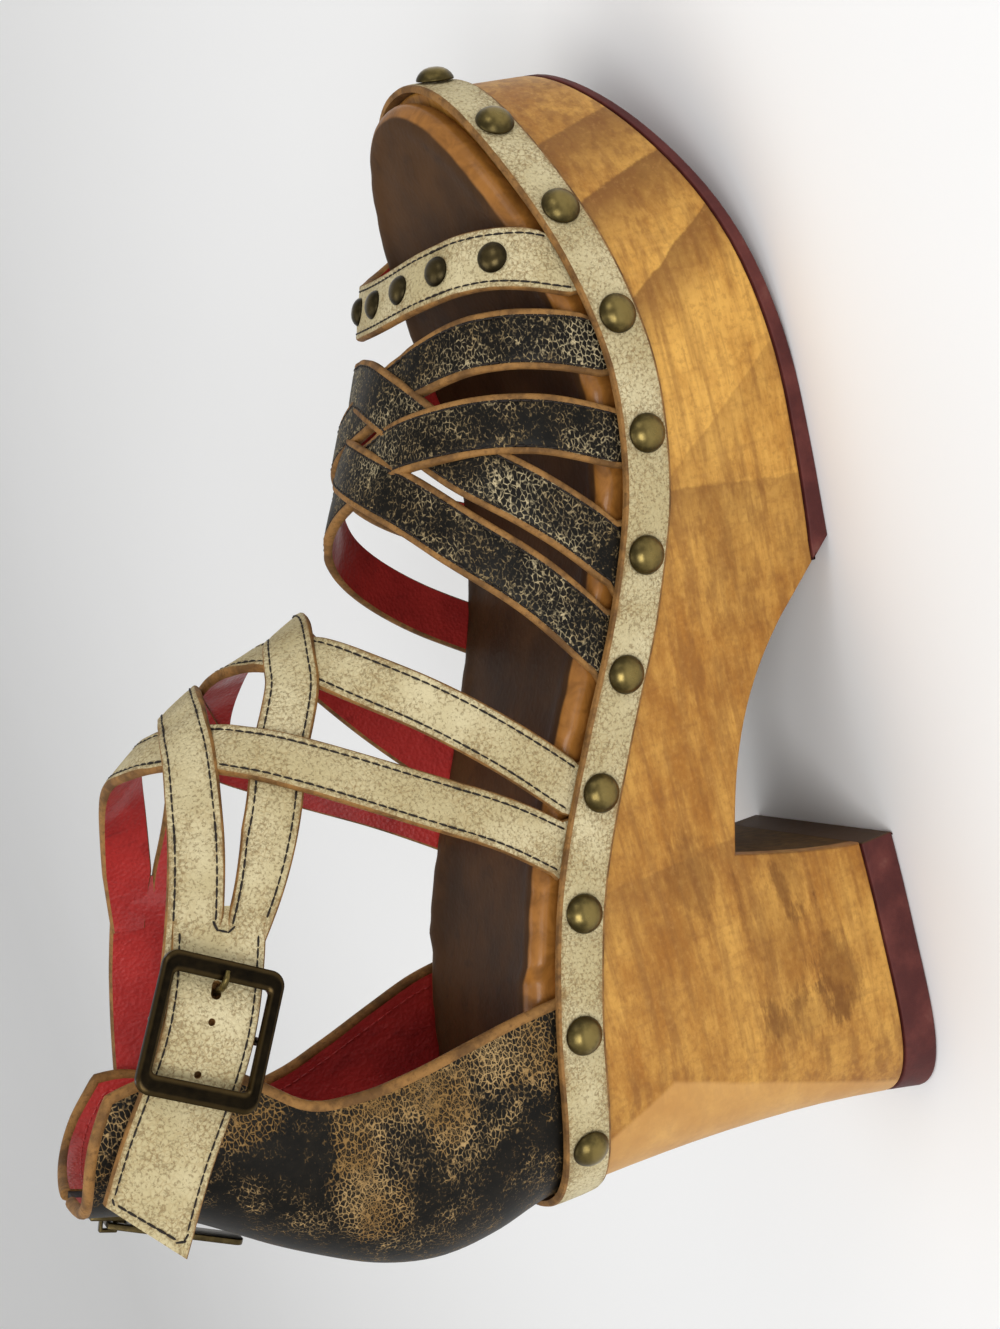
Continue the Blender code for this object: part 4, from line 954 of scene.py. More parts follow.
tread_xs = stations(start=PLATFORM_BACK_X - TREAD_THICK * bevel_run, extra=[PLATFORM_BACK_X, ROCKER_START_X])
tread_loops = sanded_slab(tread_xs, tread_bottom, tread_top, 3, 0.6, 0.3)
tread = slab_piece("rubber_tread", tread_xs, tread_loops, burgundy_rubber)
stands_for(tread, "burgundy_rubber", "forefoot_tread")

lift_xs = stations(end=BREAST_FOOT_X)
lift_loops = sanded_slab(lift_xs, lambda x: 0.0, lambda x: LIFT_THICK, 4, 0.9, 0.4)
lift = slab_piece("rubber_heel_lift", lift_xs, lift_loops, burgundy_rubber)
stands_for(lift, "burgundy_rubber", "heel_lift")

# %% [markdown]
# ## The last and its straps
# A strap is a flat strip pulled over the last. Its route is a line on the last, given by the angle round
# the foot, the section of the last and how far it is lifted where it crosses another strap. Drawing the
# strips by eye would leave gaps at the crossings, so each one is worked out from its route, and the profile
# of its cut edge goes along with it.

# %% Sections of the last
LAST = Table(
    ("station", "base_x", "rise", "spread", "crest_x", "crest_y", "crest_z"),
    (
        (0, 217, 0, 0, 219.5, 8, 64.0), (1, 200, 0, 0, 205.5, 6, 70.0), (2, 180, 0, 0, 189.3, 5, 77.5),
        (3, 160, 0, 0, 172.0, 4, 87.0), (4, 140, 0, 0, 157.0, 3, 96.0), (5, 120, 0, 0, 145.5, 2, 104.3),
        (6, 100, 0, 0, 138.7, 0, 114.3), (7, 82, 0, 0, 135.5, 0, 125.0), (8, 76, 26, 2, 132.0, 0, 137.2),
        (9, 73, 53, 3, 126.4, 0, 147.8), (10, 70, 83, 3, 118.8, 0, 159.3), (11, 66, 108, 2, 110.8, 0, 170.3),
    ),
)
LAST_POWER = 2.2
TAIL_PER_DEGREE = 0.5
ANKLE_STATION = 7.6
STRAP_INSET = 2.8
RAND_ABOVE, RAND_BELOW, RAND_THICK = 2.2, 8.8, 1.6


def last_point(station, angle):
    """Point of the last: angle 0 is the outer side's base, 90 the crest and 180 the inner side's base."""
    base_x = LAST("base_x", station)
    base_z = top(base_x) + RAND_ABOVE + max(0.0, LAST("rise", station))
    side = -1 if angle < 90 else 1
    past = max(-angle, angle - 180, 0.0)
    foot = wall(base_x, top(base_x), side)[1] - side * STRAP_INSET + side * LAST("spread", station)
    if past and station > ANKLE_STATION:
        return np.array((base_x - past, foot, base_z))
    if past:
        return np.array((base_x, foot, base_z - past * TAIL_PER_DEGREE))
    crest = np.array([LAST("crest_x", station), LAST("crest_y", station), LAST("crest_z", station)])
    centre = np.array([base_x, crest[1], base_z])
    base = np.array([base_x, foot, base_z])
    sideways = abs(math.cos(math.radians(angle))) ** (2 / LAST_POWER)
    upward = abs(math.sin(math.radians(angle))) ** (2 / LAST_POWER)
    return centre + sideways * (base - centre) + upward * (crest - centre)


def last_frame(station, angle):
    """Point of the last and its outward direction."""
    point = last_point(station, angle)
    step = 0.5
    if angle < 0:
        across = point - last_point(station, angle - step)
    elif angle > 180:
        across = last_point(station, angle + step) - point
    else:
        low, high = max(angle - step, 0.01), min(angle + step, 179.99)
        across = last_point(station, high) - last_point(station, low)
    along = last_point(station + 0.05, angle) - last_point(station - 0.05, angle)
    return point, unit(np.cross(across, along))


print("crest over the ball", np.round(last_point(3, 90)))

# %% A strap on its route
ROUTE = ("angle", "station", "lift")
ROOT_BLEND = 15.0
TIP_REACH = 16.0
HEADING_REACH, ROUTE_STEPS = 0.6, 400


class Strap:
    """A flat strip that follows a route on the last."""

    def __init__(self, rows, width, tails=(True, True), slant=0.0):
        self.route = Table(ROUTE, rows)
        self.width, self.tails, self.slant = width, tails, slant
        self.fine = np.linspace(rows[0][0], rows[-1][0], ROUTE_STEPS)
        line = np.array([self.frame(angle)[0] for angle in self.fine])
        self.run = run_along(line)
        self.length = self.run[-1]

    def frame(self, angle):
        point, out = last_frame(self.route("station", angle), angle)
        return point + out * self.route("lift", angle), out

    def angle_at(self, distance):
        return float(np.interp(distance, self.run, self.fine))

    def distance_at(self, angle):
        return float(np.interp(angle, self.fine, self.run))

    def crosswise(self, distance):
        """Point, outward direction and half-width vector of the strip."""
        point, out = self.frame(self.angle_at(distance))
        ahead = self.frame(self.angle_at(min(distance + HEADING_REACH, self.length)))[0]
        behind = self.frame(self.angle_at(max(distance - HEADING_REACH, 0.0)))[0]
        along = unit(ahead - behind)
        out = unit(out - along * np.dot(out, along))
        across = np.cross(out, along) * self.width / 2
        for tail, spare in zip(self.tails, (distance, self.length - distance)):
            if tail and spare < ROOT_BLEND:
                across = self.lean(across, along, point, spare)
        slant = self.slant * max(0.0, 1 - distance / TIP_REACH)
        return point, out, across + along * slant * self.width / 2

    def lean(self, across, along, point, spare):
        """Turn the cut end so that it runs along the rand."""
        x, side = point[0], np.sign(point[1])
        seat = unit(np.subtract(wall(x + 1, top(x + 1), side), wall(x - 1, top(x - 1), side)))
        if np.dot(seat, across) < 0:
            seat = -seat
        slant = math.sqrt(max(1 - np.dot(seat, along) ** 2, 0.2))
        share = (spare / ROOT_BLEND) ** 2
        return across * share + seat * self.width / 2 / slant * (1 - share)


print("straps can be cut")

# %% Routes of the straps
TOE_WIDTH, VAMP_WIDTH, INSTEP_WIDTH, BUCKLE_WIDTH, INNER_WIDTH = 13.0, 12.5, 11.3, 18.5, 19.0
STRAP_THICK, DOUBLED_THICK = 2.2, 2.7
TIP_SLANT = 0.38
toe_strap = Strap(
    (
        (-3.0, 1.09, 0.0), (15, 1.00, 0.0), (30, 0.97, 0.0), (47, 1.00, 0.0), (64, 1.08, 0.0),
        (87, 1.16, 0.0), (115, 1.06, 0.0), (150, 0.74, 0.0), (183.0, 0.32, 0.0),
    ),
    TOE_WIDTH,
)
VAMP_ROUTES = {
    "a": (
        (-3.0, 1.98, 0.0), (12, 1.92, 0.0), (31, 1.91, 0.0), (45, 1.97, 0.0), (60, 2.13, 0.0),
        (77, 2.36, 0.0), (93, 2.62, 0.8), (108, 2.86, 1.6), (122, 3.05, 0.8), (140, 3.28, 0.0),
        (165, 3.50, 0.0), (183.0, 3.60, 0.0),
    ),
    "b": (
        (-3.0, 2.96, 0.0), (20, 2.81, 0.0), (37, 2.83, 0.8), (54, 2.95, 1.6), (68, 3.07, 0.8),
        (82, 3.28, 0.0), (105, 3.74, 0.0), (130, 4.24, 0.0), (160, 4.64, 0.0), (183.0, 4.80, 0.0),
    ),
    "c": (
        (-3.0, 4.20, 0.0), (10, 3.86, 0.0), (20, 3.64, 0.0), (42, 3.21, 0.0), (54, 2.93, 0.0),
        (66, 2.64, 0.8), (77, 2.41, 1.6), (90, 2.20, 0.8), (110, 2.11, 0.0), (145, 1.95, 0.0),
        (183.0, 1.84, 0.0),
    ),
    "d": (
        (-3.0, 5.05, 0.0), (16, 4.57, 0.0), (38, 4.12, 0.0), (58, 3.69, 0.6), (70, 3.48, 1.2),
        (82, 3.28, 1.6), (95, 3.08, 0.8), (108, 2.90, 0.0), (135, 2.62, 0.0), (160, 2.48, 0.0),
        (183.0, 2.42, 0.0),
    ),
}
INSTEP_ROUTES = {
    "e": (
        (-3.0, 6.37, 0.0), (15, 6.30, 0.0), (33, 6.30, 0.0), (48, 6.37, 0.0), (61, 6.44, 0.0),
        (75, 6.60, 0.0), (92, 6.98, 0.0), (110, 7.50, 0.6), (122, 7.90, 1.2), (132, 8.22, 1.6),
        (143, 8.74, 1.0), (155, 9.22, 0.2), (167, 9.50, 0.0),
    ),
    "f": (
        (-3.0, 7.00, 0.0), (9, 7.14, 0.0), (21, 7.41, 0.4), (33, 7.73, 1.1), (45, 8.11, 1.6),
        (55, 8.47, 0.8), (66, 8.85, 0.0), (89, 9.50, 0.0), (110, 9.62, 0.0), (135, 9.66, 0.0),
        (167, 9.75, 0.0),
    ),
    "g": (
        (14, 9.52, 0.0), (20, 9.28, 0.0), (27, 8.98, 0.0), (37, 8.51, 0.0), (45, 8.11, 0.0),
        (54, 7.58, 0.6), (63, 7.04, 1.2), (74, 6.50, 1.6), (86, 6.10, 0.8), (104, 5.98, 0.0),
        (130, 6.08, 0.0), (160, 6.30, 0.0), (183.0, 6.40, 0.0),
    ),
    "h": (
        (14, 9.86, 0.0), (24, 9.72, 0.0), (36, 9.53, 0.2), (50, 9.27, 1.0), (66, 8.88, 1.6),
        (80, 8.58, 0.8), (95, 8.33, 0.2), (115, 8.25, 0.0), (132, 8.20, 0.0), (150, 7.75, 0.0),
        (168, 7.28, 0.0), (183.0, 7.00, 0.0),
    ),
}
vamp = {key: Strap(rows, VAMP_WIDTH) for key, rows in VAMP_ROUTES.items()}
instep = {}
for key, rows in INSTEP_ROUTES.items():
    instep[key] = Strap(rows, INSTEP_WIDTH, (rows[0][0] < 0, rows[-1][0] > 180))
buckle_end = Strap(
    (
        (-26.5, 10.61, 2.4), (-16, 10.32, 2.4), (-7, 10.05, 2.6), (2, 9.83, 3.0), (6, 9.755, 2.1),
        (9, 9.70, 0.8), (11.5, 9.66, 0.0), (15, 9.61, -0.3), (19, 9.555, -0.3), (24, 9.49, -0.3),
    ),
    BUCKLE_WIDTH, (False, False), TIP_SLANT,
)
inner_end = Strap(
    ((157, 9.43, -0.3), (166, 9.55, 0.0), (176, 9.64, 1.6), (186, 9.72, 3.2), (207, 9.88, 3.4)),
    INNER_WIDTH, (False, False),
)
print("strap lengths", {key: round(strap.length) for key, strap in {**vamp, **instep}.items()})

# %% [markdown]
# ## Cutting the straps
# Each strap is two leathers glued back to back and cut: a painted face, a red lining and a raw tan edge
# between them. The profile below walks from the middle of the lining round the cut edge to the middle of
# the face, with a shallow groove where the stitches pull the face down. Where two straps run into one, they
# are trimmed along the line midway between them, which leaves the narrow slit of the fork. Worn leather
# folds at the same places each time the foot bends, so the creases are listed one by one, each as a soft
# trough between two low ridges.

# %% Profile and skin of a strap
OUTER, LINING, EDGE = 0, 1, 2
STITCH_INSET, STITCH_HEIGHT = 1.6, 0.93
PROFILE = Table(("step", "inset", "height", "wear"), (
    (0, 3.5, 0.0, 0.0), (1, 0.5, 0.0, 0.0), (2, 0.1, 0.2, 1.0), (3, 0.0, 0.5, 1.0), (4, 0.1, 0.82, 1.0),
    (5, 0.4, 0.98, 1.0), (6, 0.9, 1.03, 0.7), (7, 1.3, 1.0, 0.45), (8, STITCH_INSET, STITCH_HEIGHT, 0.4),
    (9, 1.9, 1.0, 0.3), (10, 3.2, 1.05, 0.1),
))
CREAM_ZONES = (LINING, EDGE, EDGE, EDGE, EDGE, OUTER, OUTER, OUTER, OUTER, OUTER, OUTER)
BLACK_ZONES = (LINING, EDGE, EDGE, EDGE, EDGE, EDGE, EDGE, OUTER, OUTER, OUTER, OUTER)
CROWN = 1.06
STRAP_STEP = 1.4
FORK_SLIT = 0.6
END_DRAW, END_DRAW_REACH = 0.9, 14.0
SINK_REACH = 8.0
CREASE_WIDTH = 2.2
NARROWEST = 0.6
CREASES = {
    "toe": ((52, 0.30), (58, 0.18), (118, 0.26)),
    "a": ((34, 0.28), (68, 0.22), (128, 0.26)),
    "b": ((26, 0.30), (74, 0.22), (112, 0.24)),
    "c": ((30, 0.30), (47, 0.20), (100, 0.24)),
    "d": ((24, 0.26), (48, 0.30), (120, 0.24)),
    "e": ((20, 0.22), (70, 0.30), (86, 0.22)),
    "f": ((16, 0.26), (62, 0.28), (76, 0.22)),
    "g": ((40, 0.28), (95, 0.26), (112, 0.20)),
    "h": ((42, 0.30), (76, 0.24), (108, 0.22)),
}


def full_limits(strap):
    """How far a strap reaches to either side of its route: its half width."""
    def limits(distance):
        half = np.linalg.norm(strap.crosswise(distance)[2])
        return half, half
    return limits


def fork_limits(strap, other):
    """The same, cut off halfway to a strap that runs beside it and drawn in a little at an open end."""
    def limits(distance):
        point, _, across = strap.crosswise(distance)
        half = np.linalg.norm(across)
        if not strap.tails[1]:
            half -= END_DRAW * max(0.0, 1 - (strap.length - distance) / END_DRAW_REACH)
        midway = np.dot(other.frame(strap.angle_at(distance))[0] - point, unit(across)) / 2
        cut = min(half, max(abs(midway) - FORK_SLIT / 2, NARROWEST))
        return (half, cut) if midway > 0 else (cut, half)
    return limits


def widened_limits(strap, share, reach):
    """The half width, widened to a share of it at the strap's start."""
    def limits(distance):
        half = np.linalg.norm(strap.crosswise(distance)[2]) * between(share, 1.0, min(1.0, distance / reach))
        return half, half
    return limits


def trough(away, ridge=0.45, ridge_place=1.9):
    """A crease seen across: a soft trough with a low ridge on either side."""
    return np.exp(-away ** 2) - ridge * np.exp(-(away - ridge_place) ** 2)


def crease_depth(strap, key, distance):
    """How far the face lies below its plain shape because of the creases near by."""
    depth = 0.0
    for angle, deep in CREASES.get(key, ()):
        away = abs(distance - strap.distance_at(angle)) / CREASE_WIDTH
        depth += deep * trough(away)
    return depth


def strap_skin(strap, thick, limits, sink, key):
    """Sections and wear numbers of a strap; sink is how far each face of an end is skived away."""
    insets, heights, wears = (PROFILE.columns[name][0] for name in ("inset", "height", "wear"))
    count = max(12, round(strap.length / STRAP_STEP))
    sections = []
    for k in range(count + 1):
        distance = strap.length * k / count
        point, out, across = strap.crosswise(distance)
        sideways = unit(across)
        minus, plus = limits(distance)
        ends = [max(0.0, 1 - spare / SINK_REACH) for spare in (distance, strap.length - distance)]
        sunk = sink[0] * ends[0] ** 2 + sink[1] * ends[1] ** 2
        point = point + out * sunk
        layer = thick - 2 * sunk - crease_depth(strap, key, distance)
        loop = [point]
        for inset, height in zip(insets, heights):
            loop.append(point + sideways * max(plus - inset, 0.0) + out * height * layer)
        loop.append(point + out * CROWN * layer)
        for inset, height in zip(insets[::-1], heights[::-1]):
            loop.append(point - sideways * max(minus - inset, 0.0) + out * height * layer)
        sections.append(loop)
    wear = [0.0, *wears, 0.0, *wears[::-1]]
    return np.array(sections), np.tile(wear, count + 1)


print("strap profile with", 2 * len(CREAM_ZONES) + 1, "sides")

# %% Strap pieces
HOLE_SIDES, PUNCH_PAST = 16, 2.0


def punch(piece, strap, thick, holes):
    """Punch holes into a strap's face, each given by its place along, length, width and depth."""
    for middle, length, width, depth in holes:
        point, out, across = strap.crosswise(middle)
        sideways = unit(across)
        along = np.cross(sideways, out)
        sections = []
        for height in (thick - depth, thick + PUNCH_PAST):
            loop = []
            for k in range(HOLE_SIDES):
                turn = 2 * math.pi * (k + 0.5) / HOLE_SIDES
                reach = math.copysign((length - width) / 2, math.cos(turn)) + width / 2 * math.cos(turn)
                loop.append(point + along * reach + sideways * width / 2 * math.sin(turn) + out * height)
            sections.append(loop)
        points, faces, _ = skin(sections)
        tool = new_object("punch", new_mesh("punch", points + SHIFT, faces, [raw_edge]))
        cut = piece.modifiers.new("cut", "BOOLEAN")
        cut.operation, cut.solver, cut.material_mode, cut.object = "DIFFERENCE", "EXACT", "TRANSFER", tool
        settle(piece)
        bpy.data.objects.remove(tool)
    return piece


def strap_piece(name, strap, face, node, slot, thick=STRAP_THICK, limits=None, sink=(0.0, 0.0), key=None,
                holes=()):
    sections, wear = strap_skin(strap, thick, limits or full_limits(strap), sink, key)
    side = BLACK_ZONES if face == black_leather else CREAM_ZONES
    skinned = skin(sections, (LINING, *side, OUTER, *side[::-1][1:], LINING), cap_zone=EDGE)
    piece = make_piece(name, skinned, [face, red_lining, raw_edge], {"wear": wear})
    return stands_for(punch(piece, strap, thick, holes), slot, node)


BUCKLE_ANGLE = 2.0
END_SKIVE = 1.1
buckle_middle = buckle_end.distance_at(BUCKLE_ANGLE)
BUCKLE_HOLES = ((buckle_middle + 7.4, 3.8, 2.1, 1.7), (buckle_middle + 1.9, 1.5, 1.4, 1.6),
                (buckle_middle - 7.6, 1.5, 1.4, 1.6))
inner_limits = widened_limits(inner_end, 1.07, 9.0)
strap_piece("toe_strap_leather", toe_strap, cream_leather, "toe_strap", "cream_leather", key="toe")
for key, strap in vamp.items():
    strap_piece(f"vamp_strap_{key}", strap, black_leather, "vamp_straps", "black_leather", key=key)
fork_mates = {"e": "f", "f": "e", "g": "h", "h": "g"}
for key, strap in instep.items():
    limits = fork_limits(strap, instep[fork_mates[key]])
    strap_piece(f"instep_strap_{key}", strap, cream_leather, "instep_straps", "cream_leather", limits=limits,
                key=key)
strap_piece("buckle_strap_end", buckle_end, cream_leather, "instep_straps", "cream_leather",
            thick=DOUBLED_THICK, sink=(0.0, END_SKIVE), holes=BUCKLE_HOLES)
strap_piece("inner_strap_end", inner_end, cream_leather, "instep_straps", "cream_leather",
            thick=DOUBLED_THICK, limits=inner_limits, sink=(END_SKIVE, 0.0))

# %% [markdown]
# ## Stitches and nails
# A row of stitches is one small shape set again and again along a line, and the nails are one dome set on
# marked points. That is what Geometry Nodes are for: the tree gets the line, the spacing and the shape, and
# a number that every point of the line carries tells it which way is up. At the end the copies are made
# real and turned into a plain mesh.

# %% Trees that set shapes along a line or on points
STITCH_SEED = 7


def new_tree(name, inputs):
    """Geometry Nodes tree with named inputs; gives the tree and its input sockets as values."""
    tree = bpy.data.node_groups.new(name, "GeometryNodeTree")
    tree.interface.new_socket("Geometry", in_out="INPUT", socket_type="NodeSocketGeometry")
    for label, kind in inputs.items():
        tree.interface.new_socket(label, in_out="INPUT", socket_type=kind)
    tree.interface.new_socket("Geometry", in_out="OUTPUT", socket_type="NodeSocketGeometry")
    entry = tree.nodes.new("NodeGroupInput")
    return tree, {socket.name: Value(tree, socket) for socket in entry.outputs if socket.name}


def end_tree(tree, copies, finish):
    """Make the copies real, give them their finish and send them out."""
    real = copies.node("GeometryNodeRealizeInstances", {}, {"Geometry": copies})
    dressed = real.node("GeometryNodeSetMaterial", {}, {"Geometry": real, "Material": finish})
    leave = tree.nodes.new("NodeGroupOutput")
    tree.links.new(dressed.socket, leave.inputs["Geometry"])
    return tree


def row_tree():
    """Copies of a shape, a pitch apart, along every line of a mesh of edges."""
    tree, given = new_tree("set_in_rows", {
        "Pitch": "NodeSocketFloat", "Shape": "NodeSocketObject", "Spread": "NodeSocketFloat",
        "Finish": "NodeSocketMaterial"})
    start = given["Geometry"]
    line = start.node("GeometryNodeMeshToCurve", {}, {"Mesh": start})
    even = line.node("GeometryNodeResampleCurve", {"mode": "LENGTH"},
                     {"Curve": line, "Length": given["Pitch"]})
    upward = even.node("GeometryNodeInputNamedAttribute", {"data_type": "FLOAT_VECTOR"}, {"Name": "upward"})
    heading = even.node("GeometryNodeInputTangent", {}, {})
    turned = even.node("FunctionNodeAxesToRotation", {"primary_axis": "Z", "secondary_axis": "X"},
                       {"Primary Axis": upward, "Secondary Axis": heading})
    shape = start.node("GeometryNodeObjectInfo", {}, {"Object": given["Shape"]}, output="Geometry")
    size = start.node("FunctionNodeRandomValue", {"data_type": "FLOAT"},
                      {2: 1 - given["Spread"], 3: 1 + given["Spread"], "Seed": STITCH_SEED}, output=1)
    copies = even.node("GeometryNodeInstanceOnPoints", {},
                       {"Points": even, "Instance": shape, "Rotation": turned, "Scale": size})
    return end_tree(tree, copies, given["Finish"])


def point_tree():
    """A copy of a shape on every point of a mesh."""
    tree, given = new_tree("set_on_points", {"Shape": "NodeSocketObject", "Finish": "NodeSocketMaterial"})
    start = given["Geometry"]
    points = start.node("GeometryNodeMeshToPoints", {}, {"Mesh": start})
    upward = points.node("GeometryNodeInputNamedAttribute", {"data_type": "FLOAT_VECTOR"}, {"Name": "upward"})
    turned = points.node("FunctionNodeAlignRotationToVector", {"axis": "Z"}, {"Vector": upward})
    shape = start.node("GeometryNodeObjectInfo", {}, {"Object": given["Shape"]}, output="Geometry")
    copies = points.node("GeometryNodeInstanceOnPoints", {},
                         {"Points": points, "Instance": shape, "Rotation": turned})
    return end_tree(tree, copies, given["Finish"])


def grow(name, tree, lines, settings):
    """A piece made by a tree from lines of points, each with the direction that is up there."""
    points, upward, edges = [], [], []
    for line in lines:
        start = len(points)
        points += [(np.asarray(p) + SHIFT) * MM for p, _ in line]
        upward += [u for _, u in line]
        edges += [(start + k, start + k + 1) for k in range(len(line) - 1)]
    mesh = bpy.data.meshes.new(name)
    mesh.from_pydata([tuple(p) for p in points], edges, [])
    mesh.attributes.new("upward", "FLOAT_VECTOR", "POINT").data.foreach_set("vector", np.ravel(upward))
    piece = new_object(name, mesh)
    maker = piece.modifiers.new("maker", "NODES")
    maker.node_group = tree
    for item in tree.interface.items_tree:
        if item.item_type == "SOCKET" and item.in_out == "INPUT" and item.name in settings:
            maker[item.identifier] = settings[item.name]
    settle(piece)
    piece.data.name = name
    piece.data.shade_smooth()
    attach(piece, SHOE)
    print(name, len(piece.data.polygons), "faces")
    return piece


set_in_rows, set_on_points = row_tree(), point_tree()
print("trees", set_in_rows.name, set_on_points.name)

# %% Shapes to repeat
STITCH_ROWS = ((-0.5, 0.25, -0.2), (-0.36, 0.85, 0.5), (0.0, 1.0, 1.0), (0.36, 0.85, 0.5), (0.5, 0.25, -0.2))
STITCH_SHOULDER, STITCH_FOOT = 0.6, -0.1
NAIL_SIDES = 28
NAIL_PROFILE = ((0, 0), (1, 0), (1, 0.13), (0.96, 0.26), (0.87, 0.47), (0.72, 0.69), (0.52, 0.87),
                (0.28, 0.97), (0, 1))
NAIL_WEAR = (0, 0, 0.1, 0.15, 0.3, 0.55, 0.75, 0.9, 1.0)


def hidden_shape(name, mesh):
    """An object that only serves a tree; it is removed when its copies are made."""
    mesh.shade_smooth()
    shape = new_object(name, mesh)
    shape.hide_render = True
    return shape


def stitch_shape(length, width, height):
    """One stitch: a low rounded bar that dips into the leather at both ends."""
    sections = []
    for x, wide, high in STITCH_ROWS:
        across, rise = wide * width / 2, high * height
        loop = ((-across, STITCH_FOOT), (-STITCH_SHOULDER * across, rise), (STITCH_SHOULDER * across, rise),
                (across, STITCH_FOOT))
        sections.append([(x * length, y, z) for y, z in loop])
    points, faces, _ = skin(sections)
    return hidden_shape("stitch", new_mesh("stitch", points, faces))


def nail_shape(name, diameter, rise):
    """One nail: a dome turned about z, rubbed most at its top."""
    turns = [2 * math.pi * k / NAIL_SIDES for k in range(NAIL_SIDES)]
    sections = []
    for share, height in NAIL_PROFILE:
        radius = share * diameter / 2
        sections.append([(radius * math.cos(t), radius * math.sin(t), height * rise) for t in turns])
    points, faces, _ = skin(sections, capped=False)
    wear = np.repeat(NAIL_WEAR, NAIL_SIDES)
    return hidden_shape(name, new_mesh(name, points, faces, numbers={"wear": wear}))


STITCH_PITCH, STITCH_SPREAD = 2.2, 0.08
stitch = stitch_shape(STITCH_PITCH, 0.52, 0.32)
rand_nail = nail_shape("rand_nail", 8.4, 2.8)
toe_nail = nail_shape("toe_nail", 6.5, 1.9)
print("stitch of", len(stitch.data.polygons), "faces, nail of", len(rand_nail.data.polygons))

# %% Stitch the straps
SLIT_INSET, SLIT_HEIGHT = 1.25, 1.02
STITCH_LIFT, STITCH_SPACING = 0.05, 1.5
TIP_SHARES = (0.14, 0.3, 0.5, 0.7, 0.86)


def stitch_lines(strap, thick, limits=None, first=3.0, last=3.0, tip=False):
    """Both rows of a strap's stitches; with a tip, one row that runs round the cut end.

    Along the slit of a fork the row lies closer to the edge, on top of the face.
    """
    limits = limits or full_limits(strap)
    count = max(8, round((strap.length - first - last) / STITCH_SPACING))
    rows = ([], [])
    for k in range(count + 1):
        distance = first + (strap.length - first - last) * k / count
        point, out, across = strap.crosswise(distance)
        half = np.linalg.norm(across)
        for row, reach, side in zip(rows, limits(distance), (-1, 1)):
            trimmed = reach < min(half, max(limits(distance))) - 0.01
            inset, height = (SLIT_INSET, SLIT_HEIGHT) if trimmed else (STITCH_INSET, STITCH_HEIGHT)
            face = point + out * (height * thick + STITCH_LIFT)
            row.append((face + side * unit(across) * max(reach - inset, NARROWEST / 2), out))
    if tip:
        (start, out), (end, _) = rows[0][0], rows[1][0]
        rise = out * (CROWN + 0.02 - STITCH_HEIGHT) * thick
        cut_row = [(start + (end - start) * share + rise, out) for share in TIP_SHARES]
        return [rows[0][::-1] + cut_row + rows[1]]
    return list(rows)


def stitch_piece(name, lines, finish=waxed_thread):
    settings = {"Pitch": STITCH_PITCH * MM, "Shape": stitch, "Spread": STITCH_SPREAD, "Finish": finish}
    return grow(name, set_in_rows, lines, settings)


stitch_piece("toe_strap_stitches", stitch_lines(toe_strap, STRAP_THICK))
vamp_lines = []
for strap in vamp.values():
    vamp_lines += stitch_lines(strap, STRAP_THICK)
stitch_piece("vamp_strap_stitches", vamp_lines)
BURIED = {"e": (3.0, 10.0), "f": (3.0, 10.0), "g": (9.5, 3.0), "h": (10.5, 3.0)}
SLIT_START = {"g": 3.0, "h": 8.7}


def slit_row(key):
    """The row beside the slit of the fork at the buckle, from the slit's end."""
    limits = fork_limits(instep[key], instep[fork_mates[key]])
    rows = stitch_lines(instep[key], STRAP_THICK, limits, SLIT_START[key], BURIED[key][1])
    minus, plus = limits(SLIT_START[key])
    return rows[0] if minus < plus else rows[1]


instep_lines = stitch_lines(buckle_end, DOUBLED_THICK, first=1.8, last=6.5, tip=True)
instep_lines += stitch_lines(inner_end, DOUBLED_THICK, inner_limits, first=6.5, last=3.0)
for key, strap in instep.items():
    limits = fork_limits(strap, instep[fork_mates[key]])
    rows = stitch_lines(strap, STRAP_THICK, limits, *BURIED[key])
    if key in SLIT_START:
        minus, plus = limits(SLIT_START[key])
        rows = rows[1:] if minus < plus else rows[:1]
    instep_lines += rows
instep_lines.append(slit_row("h")[::-1] + slit_row("g"))
stitch_piece("instep_strap_stitches", instep_lines)

# %% [markdown]
# ## Rand and its nails
# The rand is the cream band nailed round the edge of the wood. A nail pulls the leather in, so the band
# dips a little round each head and swells between them.

# %% Nail places
NAIL_PITCH = 25.6
FIRST_NAIL_FROM_TOE = 11.6
BARE_NAIL_PLACE = 11


def nail_places():
    """Even places along the middle of the rand, counted from the toe along the outer side.

    One place at the back of the heel stays bare.
    """
    xs = stations(spacing=2.0, cap_steps=40)
    middle = (RAND_ABOVE - RAND_BELOW) / 2
    lines = []
    for rise in (middle - 1, middle, middle + 1):
        line = ring(rise, GAP + RAND_THICK + GAP, xs)
        line = np.roll(line[::-1], len(xs), axis=0)
        lines.append(np.vstack([line, line[:1]]))
    run = run_along(lines[1])

    def at(line, distance):
        return np.array([np.interp(distance % run[-1], run, line[:, i]) for i in range(3)])

    count = round(run[-1] / NAIL_PITCH)
    places = []
    for k in range(count):
        if k == BARE_NAIL_PLACE:
            continue
        distance = FIRST_NAIL_FROM_TOE + run[-1] * k / count
        along = at(lines[1], distance + 1) - at(lines[1], distance - 1)
        upward = at(lines[2], distance) - at(lines[0], distance)
        places.append((at(lines[1], distance), unit(np.cross(upward, along))))
    return places


nails = nail_places()
print(len(nails), "nails round the rand")

